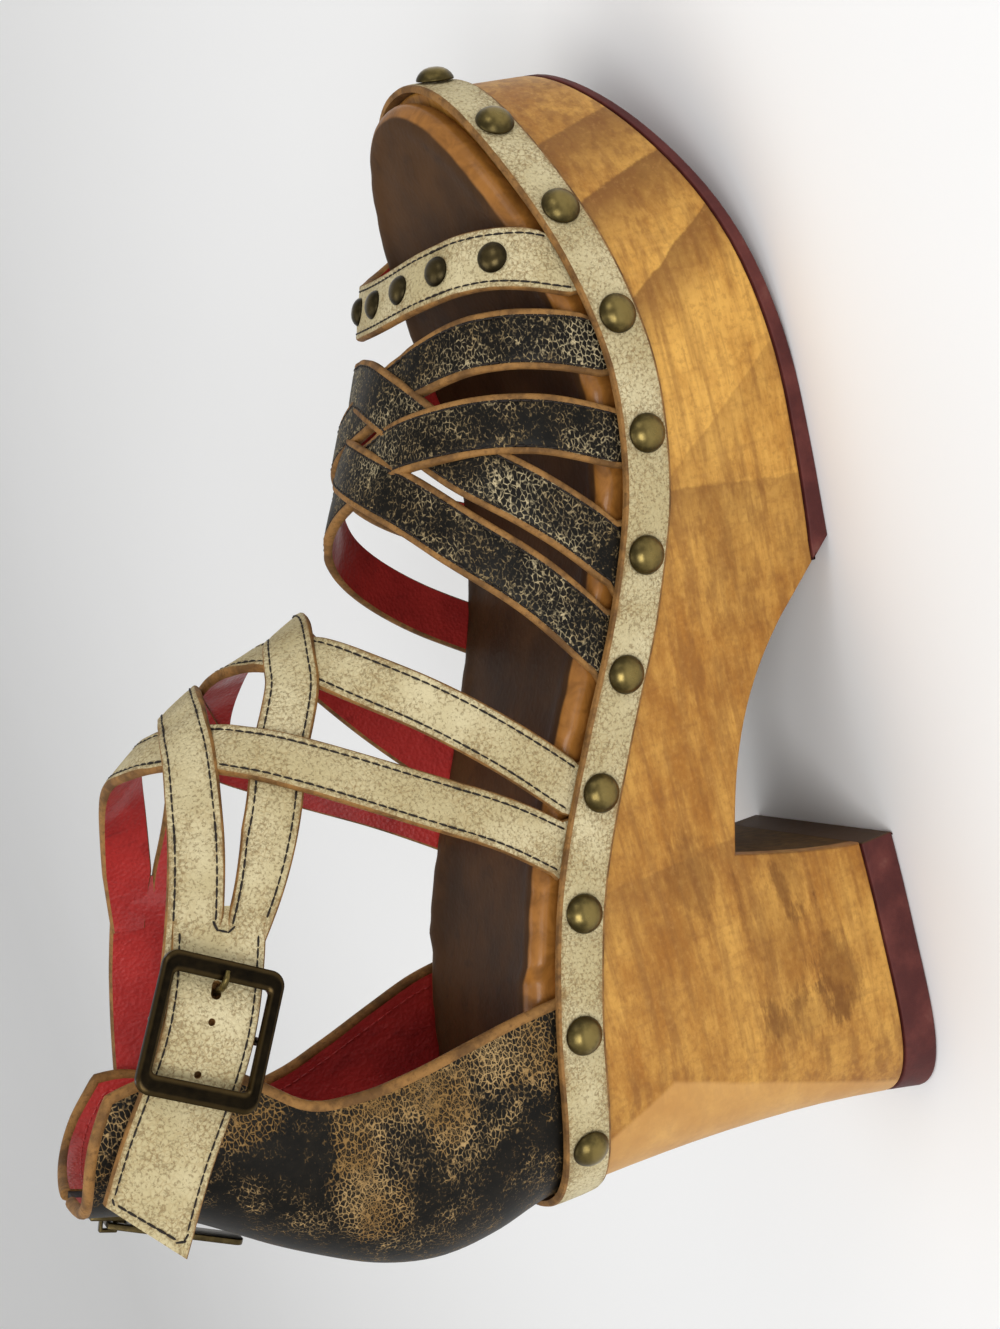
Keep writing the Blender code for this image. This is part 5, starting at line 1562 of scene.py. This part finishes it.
# %% Rand band
RAND_PROFILE = Table(("step", "rise", "out", "wear"), (
    (0, 2.2, 0.0, 1.0), (1, -8.8, 0.0, 1.0), (2, -8.8, 0.8, 1.0), (3, -8.65, 1.35, 1.0), (4, -8.1, 1.6, 0.9),
    (5, -6.8, 1.7, 0.35), (6, -5.2, 1.75, 0.1), (7, -3.3, 1.75, 0.0), (8, -1.4, 1.75, 0.1),
    (9, 0.2, 1.7, 0.35), (10, 1.5, 1.6, 0.9), (11, 2.05, 1.35, 1.0), (12, 2.2, 0.8, 1.0),
))
RAND_ZONES = (EDGE, EDGE, EDGE, EDGE, OUTER, OUTER, OUTER, OUTER, OUTER, OUTER, EDGE, EDGE, EDGE)
NAIL_DIP, NAIL_DIP_REACH, DIPS_PAST = 0.28, 7.0, 0.9


def rand_piece():
    xs = stations(spacing=2.2, cap_steps=30)
    loops = []
    heads = np.array([point for point, _ in nails])
    for rise, out in zip(RAND_PROFILE.columns["rise"][0], RAND_PROFILE.columns["out"][0]):
        loop = ring(rise, GAP + out, xs)
        if out > DIPS_PAST:
            near = np.linalg.norm(loop[:, None] - heads[None], axis=2).min(axis=1)
            dip = NAIL_DIP * np.exp(-(near / NAIL_DIP_REACH) ** 2)
            loop = ring(rise, GAP + out - dip[:, None], xs)
        loops.append(loop)
    sections = np.array(loops).transpose(1, 0, 2)
    wear = np.tile(RAND_PROFILE.columns["wear"][0], len(sections))
    return make_piece("rand_band", skin(sections, RAND_ZONES, looped=True),
                      [cream_leather, red_lining, raw_edge], {"wear": wear})


stands_for(rand_piece(), "cream_leather", "rand")
nail_nodes = [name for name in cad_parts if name.startswith("rand_stud_")]
rand_nails = grow("rand_nails", set_on_points, [nails], {"Shape": rand_nail, "Finish": nail_brass})
stands_for(rand_nails, "antique_brass", *nail_nodes)

# %% Toe strap nails
TOE_NAIL_COUNT, TOE_NAIL_PITCH, TOE_NAIL_FIRST, TOE_NAIL_LIFT = 7, 13.6, 27.0, 0.15
toe_heads = []
for k in range(TOE_NAIL_COUNT):
    point, out, _ = toe_strap.crosswise(toe_strap.distance_at(TOE_NAIL_FIRST) + TOE_NAIL_PITCH * k)
    toe_heads.append((point + out * (STRAP_THICK + TOE_NAIL_LIFT), out))
toe_nails = grow("toe_strap_nails", set_on_points, [toe_heads], {"Shape": toe_nail, "Finish": toe_nail_brass})
toe_nodes = [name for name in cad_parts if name.startswith("toe_strap_stud_")]
stands_for(toe_nails, "antique_brass", *toe_nodes)

# %% [markdown]
# ## Footbed
# The footbed is a padded sock: a dark brown top inside a tan edge that is rolled over the padding. The roll
# gives way where a strap comes up beside it, so it bulges between the straps. Each ring of the roll is drawn
# in where a strap's root stands, and it is nipped by short creases that are listed along both sides.

# %% Padded footbed
FOOTBED_EDGE = Table(("step", "inset", "rise", "roll"), (
    (0, 0.6, 0.3, 1.0), (1, 0.4, 2.4, 1.0), (2, 1.0, 4.4, 1.0), (3, 3.2, 6.2, 0.6), (4, 6.5, 6.6, 0.0),
    (5, 10.5, 5.6, 0.0), (6, 17.0, 5.0, 0.0),
))
FOOTBED_TURNS = 18
COUNTER_FRONT_X, COUNTER_ROOM, COUNTER_ROOM_BLEND = 51.0, 9.0, 4.0
ROOT_ROOM, ROOT_EASE, PLAIN_ROOM_SHARE = 2.9, 9.0, 0.7
DRAWN_STEPS, NIP_STEP, NIP_SPREAD = 4.5, 3.0, 2.5
ROLL_CREASES = {
    -1: (8, 17, 29, 38, 66, 74, 88, 97, 112, 131, 139, 171, 182, 206, 219, 231, 239),
    1: (10, 21, 33, 41, 63, 77, 92, 104, 118, 128, 150, 171, 189, 203, 217, 229, 238),
}
ROLL_CREASE_WIDTH, ROLL_CREASE_DEPTH = 1.8, 0.16
ROLL_RIDGE, ROLL_RIDGE_PLACE = 0.4, 1.8


def strap_roots():
    """Where straps come up through the roll: side, middle and half length along x."""
    roots = []
    for strap in (toe_strap, *vamp.values(), *instep.values()):
        for tail, angle, side in zip(strap.tails, (2.0, 178.0), (-1, 1)):
            if tail:
                point, _, across = strap.crosswise(strap.distance_at(angle))
                roots.append((side, point[0], abs(across[0])))
    return roots


def root_push(places, roots):
    """Share by which the roll is drawn in at each place round the shoe."""
    push = []
    for x, side in places:
        nearest = 0.0
        for root_side, middle, half in roots:
            if root_side == side:
                over = max(0.0, abs(x - middle) - half)
                nearest = max(nearest, max(0.0, 1 - over / ROOT_EASE))
        push.append(max(PLAIN_ROOM_SHARE, nearest * nearest * (3 - 2 * nearest)))
    return np.array(push)[:, None]


def roll_nips(places):
    """How far the roll's creases draw it in at each place round the shoe."""
    nips = []
    for x, side in places:
        away = min(abs(x - crease) for crease in ROLL_CREASES[side]) / ROLL_CREASE_WIDTH
        nips.append(ROLL_CREASE_DEPTH * trough(away, ROLL_RIDGE, ROLL_RIDGE_PLACE))
    return np.array(nips)


def footbed_piece():
    xs = stations(spacing=1.0, cap_steps=40)
    places = track(xs)[0]
    push = root_push(places, strap_roots())
    nips = roll_nips(places)
    room = STRAP_INSET + 2 * GAP
    loops, rolls = [], []
    for k in range(FOOTBED_TURNS + 1):
        step = FOOTBED_EDGE.xs[-1] * k / FOOTBED_TURNS
        inset, rise = FOOTBED_EDGE("inset", step), FOOTBED_EDGE("rise", step)
        line, seat = ring(rise, -inset, xs), ring(rise, -(inset + room), xs)
        drawn = ring(rise, -(inset + ROOT_ROOM * max(0.0, 1 - step / DRAWN_STEPS)), xs)
        heel = np.clip((COUNTER_FRONT_X + COUNTER_ROOM - line[:, :1]) / COUNTER_ROOM_BLEND, 0, 1)
        line = between(between(line, drawn, push), seat, heel)
        line[:, 2] -= nips * max(0.0, 1 - abs(step - NIP_STEP) / NIP_SPREAD)
        loops.append(line)
        rolls += [FOOTBED_EDGE("roll", step)] * len(line)
    return slab_piece("padded_footbed", xs, loops, footbed_leather, {"roll": rolls})


stands_for(footbed_piece(), "brown_leather", "footbed")

# %% [markdown]
# ## Heel counter
# The counter is a stiff leather cup: black outside, red inside, with a tan cord rolled into its upper and
# front edge. Its back is slit for the zip. The cup is a grid of points that rises from the seat, once for
# the lining and once, a wall's thickness further out, for the face. The creases of face and lining are
# listed one by one: each runs from one point to another of the side view and is a soft trough with a ridge
# on either side.

# %% Heel cup
CUP = Table(
    ("z", "back", "front", "inner_front", "widen"),
    (
        (90, 5.8, 51.0, 51.0, 1.00), (100, 5.4, 50.5, 49.8, 1.00), (112, 3.2, 49.4, 46.5, 1.01),
        (125, 3.3, 48.3, 42.5, 1.03), (137, 7.3, 48.4, 39.5, 1.04), (149, 14.5, 51.6, 39.5, 1.05),
        (157, 20.0, 59.2, 43.0, 1.06), (164, 25.5, 65.0, 48.5, 1.06), (171, 31.0, 67.0, 52.5, 1.06),
        (179, 36.0, 67.0, 54.0, 1.05), (193, 42.0, 65.0, 55.0, 1.04),
    ),
)
CUP_TOP_BACK = 193.0
CUP_TOP_FRONT = {"outer": 184.0, "inner": 177.0}
CUP_TOP_BEND = {"outer": 4.0, "inner": 1.6}
CUP_THICK, CUP_LIFT, CUP_ROWS = 2.2, 0.42, 46
SLOT_HALF, SLOT_FOOT_Z = 3.7, 112.0


def cup_plan():
    """Plan of the heel seat inside the rand, from the outer front edge round the back to the inner one."""
    share = (SLOT_HALF / SOLE("half", HEEL_BACK)) ** HEEL_POWER_SEAT
    slot_x = HEEL_BACK + HEEL_CAP * (1 - (1 - share) ** (1 / HEEL_POWER_SEAT))
    xs = stations(extra=[slot_x, COUNTER_FRONT_X], spacing=2.4, cap_steps=20)
    line = ring(0, -STRAP_INSET, xs)
    count = sum(x <= COUNTER_FRONT_X for x in xs)
    outer_side = [line[k] for k in reversed(range(count))]
    inner_side = [line[len(line) - k] for k in range(1, count)]
    return np.array(outer_side + inner_side)[:, :2], count - 1


def cup_x(plan_x, z, side):
    seat_back = HEEL_BACK + STRAP_INSET
    share = (plan_x - seat_back) / (COUNTER_FRONT_X - seat_back)
    front = CUP("front" if side < 0 else "inner_front", z)
    return CUP("back", z) + share * (front - CUP("back", z))


def cup_grid():
    """Lining and face points of the cup, rows from the seat up, and the column of the back line."""
    plan, back = cup_plan()
    run = run_along(plan)
    parts = np.abs(run / run[-1] * 2 - 1)
    lining = []
    for row in range(CUP_ROWS + 1):
        line = []
        for (x, y), part in zip(plan, parts):
            low = top(cup_x(x, top(x), y)) + CUP_LIFT
            side = "outer" if y < 0 else "inner"
            high = CUP_TOP_BACK + (CUP_TOP_FRONT[side] - CUP_TOP_BACK) * part ** CUP_TOP_BEND[side]
            z = low + (high - low) * row / CUP_ROWS
            line.append((cup_x(x, z, y), y * CUP("widen", z), z))
        lining.append(line)
    lining = np.array(lining)
    out = unit(np.cross(np.gradient(lining, axis=1), np.gradient(lining, axis=0)))
    if out[0, 0, 1] > 0:
        out = -out
    out[0] = unit(out[1] * (1, 1, 0))
    return lining, out, back


FACE_CREASES = (
    (-1, (60, 170), (44, 156), 0.5), (-1, (57, 176), (42, 166), 0.35), (-1, (46, 130), (30, 124), 0.35),
    (-1, (44, 112), (24, 108), 0.4), (-1, (34, 150), (24, 136), 0.3),
    (1, (46, 168), (34, 154), 0.5), (1, (38, 132), (24, 124), 0.35), (1, (42, 112), (22, 106), 0.4),
)
LINING_CREASES = (
    (1, (42, 174), (38, 160), 0.55), (1, (47, 172), (45, 162), 0.5), (1, (36, 178), (30, 164), 0.5),
    (-1, (52, 176), (46, 162), 0.5), (-1, (42, 180), (36, 166), 0.45),
)
CUP_CREASE_WIDTH = 2.4


def cup_dents(creases):
    """How deep every point of the cup's grid lies in the creases; one is side, start, end and depth."""
    dents = np.zeros(cup_lining.shape[:2])
    for side, start, end, deep in creases:
        start, end = np.array(start, float), np.array(end, float)
        places = cup_lining[:, :, (0, 2)] - start
        share = np.clip(places @ (end - start) / np.dot(end - start, end - start), 0, 1)
        away = np.linalg.norm(places - share[:, :, None] * (end - start), axis=2) / CUP_CREASE_WIDTH
        fade = np.sin(math.pi * (0.1 + 0.8 * share))
        dents += np.where(np.sign(cup_lining[:, :, 1]) == side, deep * fade * trough(away), 0.0)
    return dents[:, :, None]


cup_lining, cup_out, cup_back = cup_grid()
cup_face = cup_lining + cup_out * (CUP_THICK - cup_dents(FACE_CREASES))
cup_lining = cup_lining + cup_out * cup_dents(LINING_CREASES)
print("cup grid", cup_lining.shape[:2], "back column", cup_back)

# %% Cup wall
CUP_WEAR_REACH, SLOT_SLACK = 7.0, 1.1


def in_slot(row, column):
    """Whether a cell of the cup's grid lies in the slot of the zip."""
    sides = np.abs(cup_lining[row, column:column + 2, 1])
    return sides.max() < SLOT_HALF * SLOT_SLACK and cup_lining[row, column, 2] > SLOT_FOOT_Z


def cup_piece():
    rows, columns = cup_lining.shape[:2]
    half = rows * columns
    points = np.vstack([cup_face.reshape(-1, 3), cup_lining.reshape(-1, 3)])
    kept = {(r, c) for r in range(rows - 1) for c in range(columns - 1) if not in_slot(r, c)}
    faces, marks = [], []
    for r, c in sorted(kept):
        corner = [r * columns + c, r * columns + c + 1, (r + 1) * columns + c + 1, (r + 1) * columns + c]
        faces.append(tuple(corner))
        faces.append(tuple(half + k for k in reversed(corner)))
        marks += [OUTER, LINING]
        beside = ((r - 1, c), (r, c + 1), (r + 1, c), (r, c - 1))
        for k, cell in enumerate(beside):
            if cell not in kept:
                a, b = corner[k], corner[(k + 1) % 4]
                faces.append((a, b, half + b, half + a))
                marks.append(EDGE)
    to_top = np.linalg.norm(cup_face - cup_face[-1:], axis=2)
    to_front = np.minimum(np.linalg.norm(cup_face - cup_face[:, :1], axis=2),
                          np.linalg.norm(cup_face - cup_face[:, -1:], axis=2))
    wear = np.clip(1 - np.minimum(to_top, to_front) / CUP_WEAR_REACH, 0, 1).ravel()
    return make_piece("counter_cup", (points, faces, marks), [counter_leather, red_lining, raw_edge],
                      {"wear": np.r_[wear, wear * 0]})


stands_for(cup_piece(), "black_leather", "heel_counter")

# %% Cord along the cup's edge
CORD_RADIUS = 1.3
TUBE_SIDES, TUBE_WEAR, TUBE_ACROSS = 12, 0.5, (0.3, 0.2, 0.9)


def tube(name, line, radius, finish):
    """A round bar along a line, with closed ends; radius is a number or one for each point."""
    radii = np.broadcast_to(radius, len(line))
    heading = unit(np.gradient(line, axis=0))
    side = np.cross(heading[0], TUBE_ACROSS)
    turns = [2 * math.pi * k / TUBE_SIDES for k in range(TUBE_SIDES)]
    sections = []
    for point, ahead, thick in zip(line, heading, radii):
        side = unit(side - ahead * np.dot(side, ahead))
        other = np.cross(ahead, side)
        sections.append([point + thick * (side * math.cos(t) + other * math.sin(t)) for t in turns])
    wear = np.full(TUBE_SIDES * len(sections), TUBE_WEAR)
    piece = make_piece(name, skin(sections), [finish], {"wear": wear})
    print(name, len(piece.data.polygons), "faces")
    return piece


cup_middle = (cup_lining + cup_face) / 2
slot_columns = [c for c in range(cup_middle.shape[1] - 1) if in_slot(CUP_ROWS - 1, c)]
outer_edge = np.vstack([cup_middle[:, 0], cup_middle[-1, 1:slot_columns[0] + 1]])
inner_edge = np.vstack([cup_middle[:, -1], cup_middle[-1, -2:slot_columns[-1]:-1]])
tube("counter_cord_outer", outer_edge, CORD_RADIUS, raw_edge)
tube("counter_cord_inner", inner_edge, CORD_RADIUS, raw_edge)

# %% Stitches beside the cord
CORD_STITCH_INSET = 3.6


def inset_line(lines):
    """Points so far in from the first point of each line."""
    places = []
    for line in lines:
        places.append([np.interp(CORD_STITCH_INSET, run_along(line), line[:, axis]) for axis in range(3)])
    return np.array(places)


def cord_stitch_line(columns, front):
    """One row of stitches on the lining, up the front edge and along the top edge of the cup, to the slot."""
    inward = 1 if front == 0 else -1
    up_front = inset_line([cup_lining[row, front::inward] for row in range(CUP_ROWS + 1)])
    along_top = inset_line([cup_lining[::-1, column] for column in columns])
    skipped = int(np.searchsorted(run_along(cup_lining[-1, front::inward]), CORD_STITCH_INSET))
    reach = np.linalg.norm(cup_lining[:, front] - cup_lining[-1, front], axis=1) > CORD_STITCH_INSET
    line = [(point, -cup_out[row, front]) for row, point in enumerate(up_front) if reach[row] and row > 1]
    line += [(point, -cup_out[-1, column]) for column, point in list(zip(columns, along_top))[skipped:]]
    return line


last_column = cup_face.shape[1] - 1
inner_columns = range(last_column, slot_columns[-1] + 1, -1)
lining_rows = [cord_stitch_line(range(slot_columns[0]), 0), cord_stitch_line(inner_columns, last_column)]
stitch_piece("counter_lining_stitches", lining_rows, red_lining)

# %% [markdown]
# ## Zip
# The zip fills the slot at the back: a tape, a closed chain of teeth, a slider at the top and a pull tab
# that hangs from it and swings. Only the tab moves here, so only the tab rides on its own body.

# %% Tape and teeth
TAPE_THICK, TAPE_TUCK = 1.4, 0.5
CHAIN_RISE, ZIP_STEPS = 1.25, 61
TOOTH_PITCH, TOOTH_LIFT, TOOTH_SIZE, TOOTH_BEVEL = 1.9, 0.35, (1.05, 2.1, 0.9), 0.16
ROW_REACH = 0.62


def back_frame(z):
    """Face of the counter's back line: a point of it and the outward direction there."""
    out = unit(np.array([-1.0, 0.0, CUP("back", z + 0.5) - CUP("back", z - 0.5)]))
    return np.array([CUP("back", z), 0.0, z]) + out * CUP_THICK, out


slot_rows = cup_lining[:, cup_back, 2]
zip_low, zip_high = slot_rows[slot_rows > SLOT_FOOT_Z][0] + 2 * GAP, slot_rows[-1] - GAP
tape_half, tape_low = SLOT_HALF + TAPE_TUCK, -(CUP_THICK + TAPE_THICK) / 2
tape_profile = ((-1.0, 0.0), (1.0, 0.0), (1.0, 0.85), (0.9, 1.0), (0.55, 1.0), (0.5, CHAIN_RISE),
                (-0.5, CHAIN_RISE), (-0.55, 1.0), (-0.9, 1.0), (-1.0, 0.85))
tape_sections, tooth_rows = [], []
sideways = np.array([0.0, 1.0, 0.0])
for z in np.linspace(zip_low, zip_high, ZIP_STEPS):
    point, out = back_frame(z)
    tape_sections.append([point + out * (tape_low + h * TAPE_THICK) + sideways * y * tape_half
                          for y, h in tape_profile])
for y, start in ((-ROW_REACH, zip_low), (ROW_REACH, zip_low + TOOTH_PITCH / 2)):
    frames = [back_frame(z) for z in np.linspace(start, zip_high, ZIP_STEPS)]
    tooth_rows.append([(point + out * (tape_low + TAPE_THICK * CHAIN_RISE + TOOTH_LIFT) + sideways * y, out)
                       for point, out in frames])
stands_for(make_piece("zip_tape_strip", skin(tape_sections), [zip_tape]), "zip_tape", "zip")


def tooth_shape():
    """One tooth: a small block with a broken edge."""
    bm = bmesh.new()
    bmesh.ops.create_cube(bm, size=1.0)
    bmesh.ops.scale(bm, vec=[side * MM for side in TOOTH_SIZE], verts=bm.verts)
    bmesh.ops.bevel(bm, geom=list(bm.edges), offset=TOOTH_BEVEL * MM, segments=1, affect="EDGES")
    mesh = bpy.data.meshes.new("tooth")
    bm.to_mesh(mesh)
    bm.free()
    return hidden_shape("tooth", mesh)


tooth = tooth_shape()
settings = {"Pitch": TOOTH_PITCH * MM, "Shape": tooth, "Spread": 0.0, "Finish": zip_brass}
grow("zip_teeth", set_in_rows, tooth_rows, settings)

# %% Slider and pull tab
BEVEL_SEGMENTS = 3
FLAT_DEGREES, BEVELLED_ANGLE = 2.0, 0.5


def rounded_copy(name, node, width, finish, body):
    """A solid's own shape with its edges broken by a bevel, and wear where the bevel is."""
    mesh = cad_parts[node].data.copy()
    mesh.materials.clear()
    mesh.materials.append(finish)
    bm = bmesh.new()
    bm.from_mesh(mesh)
    label = bm.verts.layers.float.new("wear")
    bmesh.ops.remove_doubles(bm, verts=bm.verts, dist=MERGE_REACH * MM)
    bmesh.ops.dissolve_limit(bm, angle_limit=math.radians(FLAT_DEGREES), verts=bm.verts, edges=bm.edges)
    paired = [edge for edge in bm.edges if len(edge.link_faces) == 2]
    sharp = [edge for edge in paired if edge.calc_face_angle() > BEVELLED_ANGLE]
    made = bmesh.ops.bevel(bm, geom=sharp, offset=width * MM, segments=BEVEL_SEGMENTS, profile=0.5,
                           affect="EDGES", clamp_overlap=True)
    for vert in made["verts"]:
        vert[label] = 1.0
    bmesh.ops.recalc_face_normals(bm, faces=bm.faces)
    bm.to_mesh(mesh)
    bm.free()
    mesh.name = name
    return smooth_piece(mesh, body)


stands_for(rounded_copy("slider_body", "zip_slider", 0.35, zip_brass, SHOE), "antique_brass", "zip_slider")
pull = rounded_copy("pull_tab", "zip_pull", 0.28, zip_brass, "zip_pull_tab")
stands_for(pull, "antique_brass", "zip_pull")

# %% [markdown]
# ## Buckle
# The frame is a cast loop, nearly black, with its edges rubbed to brass; the bright brass on its upper rims
# is also a painted highlight. Its middle bar lies under the strap, and the prong turns round that bar, comes
# up through the strap and rests on the bar at the fork. The frame is a rounded profile led round a rounded
# rectangle.

# %% Frame of the buckle
FRAME_LENGTH, FRAME_WIDTH = 27.6, 24.4
END_BAR, SIDE_BAR, FRAME_CORNER = 4.0, 2.6, 3.0
FRAME_THICK = 2.4
FORK_LIFT, TIP_LIFT = 5.8, 7.0
MIDDLE_BAR_RADIUS, MIDDLE_BAR_LIFT = 0.855, 1.6
FRAME_PROFILE = ((0.0, -0.3), (0.12, -0.46), (0.88, -0.46), (1.0, -0.3), (1.0, 0.3), (0.9, 0.46),
                 (0.72, 0.58), (0.28, 0.58), (0.1, 0.46), (0.0, 0.3))
# How rubbed each point of the profile is; the upper rims also carry a painted highlight.
FRAME_RUB_AND_HIGHLIGHT = (0.4, 0.5, 0.5, 0.4, 0.7, 1.0, 0.3, 0.3, 1.0, 0.7)


def rounded_rectangle(length, width, radius, steps=9, straight=5):
    """Points round a rectangle with rounded corners, a few on each straight side too."""
    corners = []
    for corner, (sx, sy) in enumerate(((1, 1), (-1, 1), (-1, -1), (1, -1))):
        arc = []
        for k in range(steps + 1):
            angle = math.pi / 2 * (corner + k / steps)
            arc.append((sx * (length / 2 - radius) + radius * math.cos(angle),
                        sy * (width / 2 - radius) + radius * math.sin(angle)))
        corners.append(arc)
    points = []
    for arc, after in zip(corners, corners[1:] + corners[:1]):
        points += arc
        points += [between(np.array(arc[-1]), np.array(after[0]), k / straight) for k in range(1, straight)]
    return np.array(points)


_, buckle_out, across = buckle_end.crosswise(buckle_middle)
buckle_base = last_point(buckle_end.route("station", BUCKLE_ANGLE), BUCKLE_ANGLE)
buckle_along = unit(np.cross(across, buckle_out))
buckle_axes = np.array([buckle_along, np.cross(buckle_out, buckle_along), buckle_out])


def on_buckle(points):
    """Points of the buckle, x to the fork, y across and z out, in the shoe's frame."""
    return buckle_base + np.asarray(points, float) @ buckle_axes


frame_outer = rounded_rectangle(FRAME_LENGTH, FRAME_WIDTH, FRAME_CORNER)
frame_inner = rounded_rectangle(FRAME_LENGTH - 2 * END_BAR, FRAME_WIDTH - 2 * SIDE_BAR, FRAME_CORNER / 3)
frame_middle = (FORK_LIFT + TIP_LIFT) / 2
frame_tilt = (FORK_LIFT - TIP_LIFT) / (FRAME_LENGTH - END_BAR)
sections = []
for outer_point, inner_point in zip(frame_outer, frame_inner):
    loop = []
    for share, height in FRAME_PROFILE:
        x, y = inner_point + (outer_point - inner_point) * share
        loop.append((x, y, frame_middle + height * FRAME_THICK + frame_tilt * x))
    sections.append(on_buckle(loop))
wear = np.tile(FRAME_RUB_AND_HIGHLIGHT, len(sections))
buckle = make_piece("buckle_loop", skin(sections, looped=True), [buckle_brass], {"wear": wear})
stands_for(buckle, "antique_brass", "buckle_frame")
bar_reach = FRAME_WIDTH / 2 - SIDE_BAR / 2
bar_line = [(0, -bar_reach, frame_middle), (0, -bar_reach, 3.2), (0, -bar_reach + 0.35, 2.0),
            (0, -bar_reach + 1.4, MIDDLE_BAR_LIFT)]
bar_line += [(0, y, MIDDLE_BAR_LIFT) for y in np.linspace(-bar_reach + 2.5, bar_reach - 2.5, 12)]
bar_line += [(x, -y, z) for x, y, z in reversed(bar_line[:4])]
tube("buckle_middle_bar", on_buckle(bar_line), MIDDLE_BAR_RADIUS, buckle_brass)

# %% Prong
PRONG_PATH = Table(("step", "x", "z", "thick"), (
    (0, 1.7, 1.2, 0.75), (1, 5.4, 1.2, 0.75), (2, 7.1, 2.4, 0.75), (3, 7.9, 4.8, 0.75), (4, 8.6, 7.4, 0.72),
    (5, 10.2, 8.6, 0.66), (6, 11.8, 8.5, 0.5),
))
PRONG_STEPS = 40
prong_steps = np.linspace(0, PRONG_PATH.xs[-1], PRONG_STEPS)
prong_line = on_buckle([(PRONG_PATH("x", s), 0.0, PRONG_PATH("z", s)) for s in prong_steps])
prong_radii = [PRONG_PATH("thick", s) for s in prong_steps]
prong = tube("buckle_tongue", prong_line, prong_radii, nail_brass)
stands_for(prong, "antique_brass", "buckle_prong")

# %% [markdown]
# ## Closing
# The hidden shapes that the trees copied are taken away, and the two boxes, of the solids and of the
# dressed sandal, are measured.

# %% Measure and finish
for shape in (stitch, rand_nail, toe_nail, tooth):
    bpy.data.objects.remove(shape)
low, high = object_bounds()
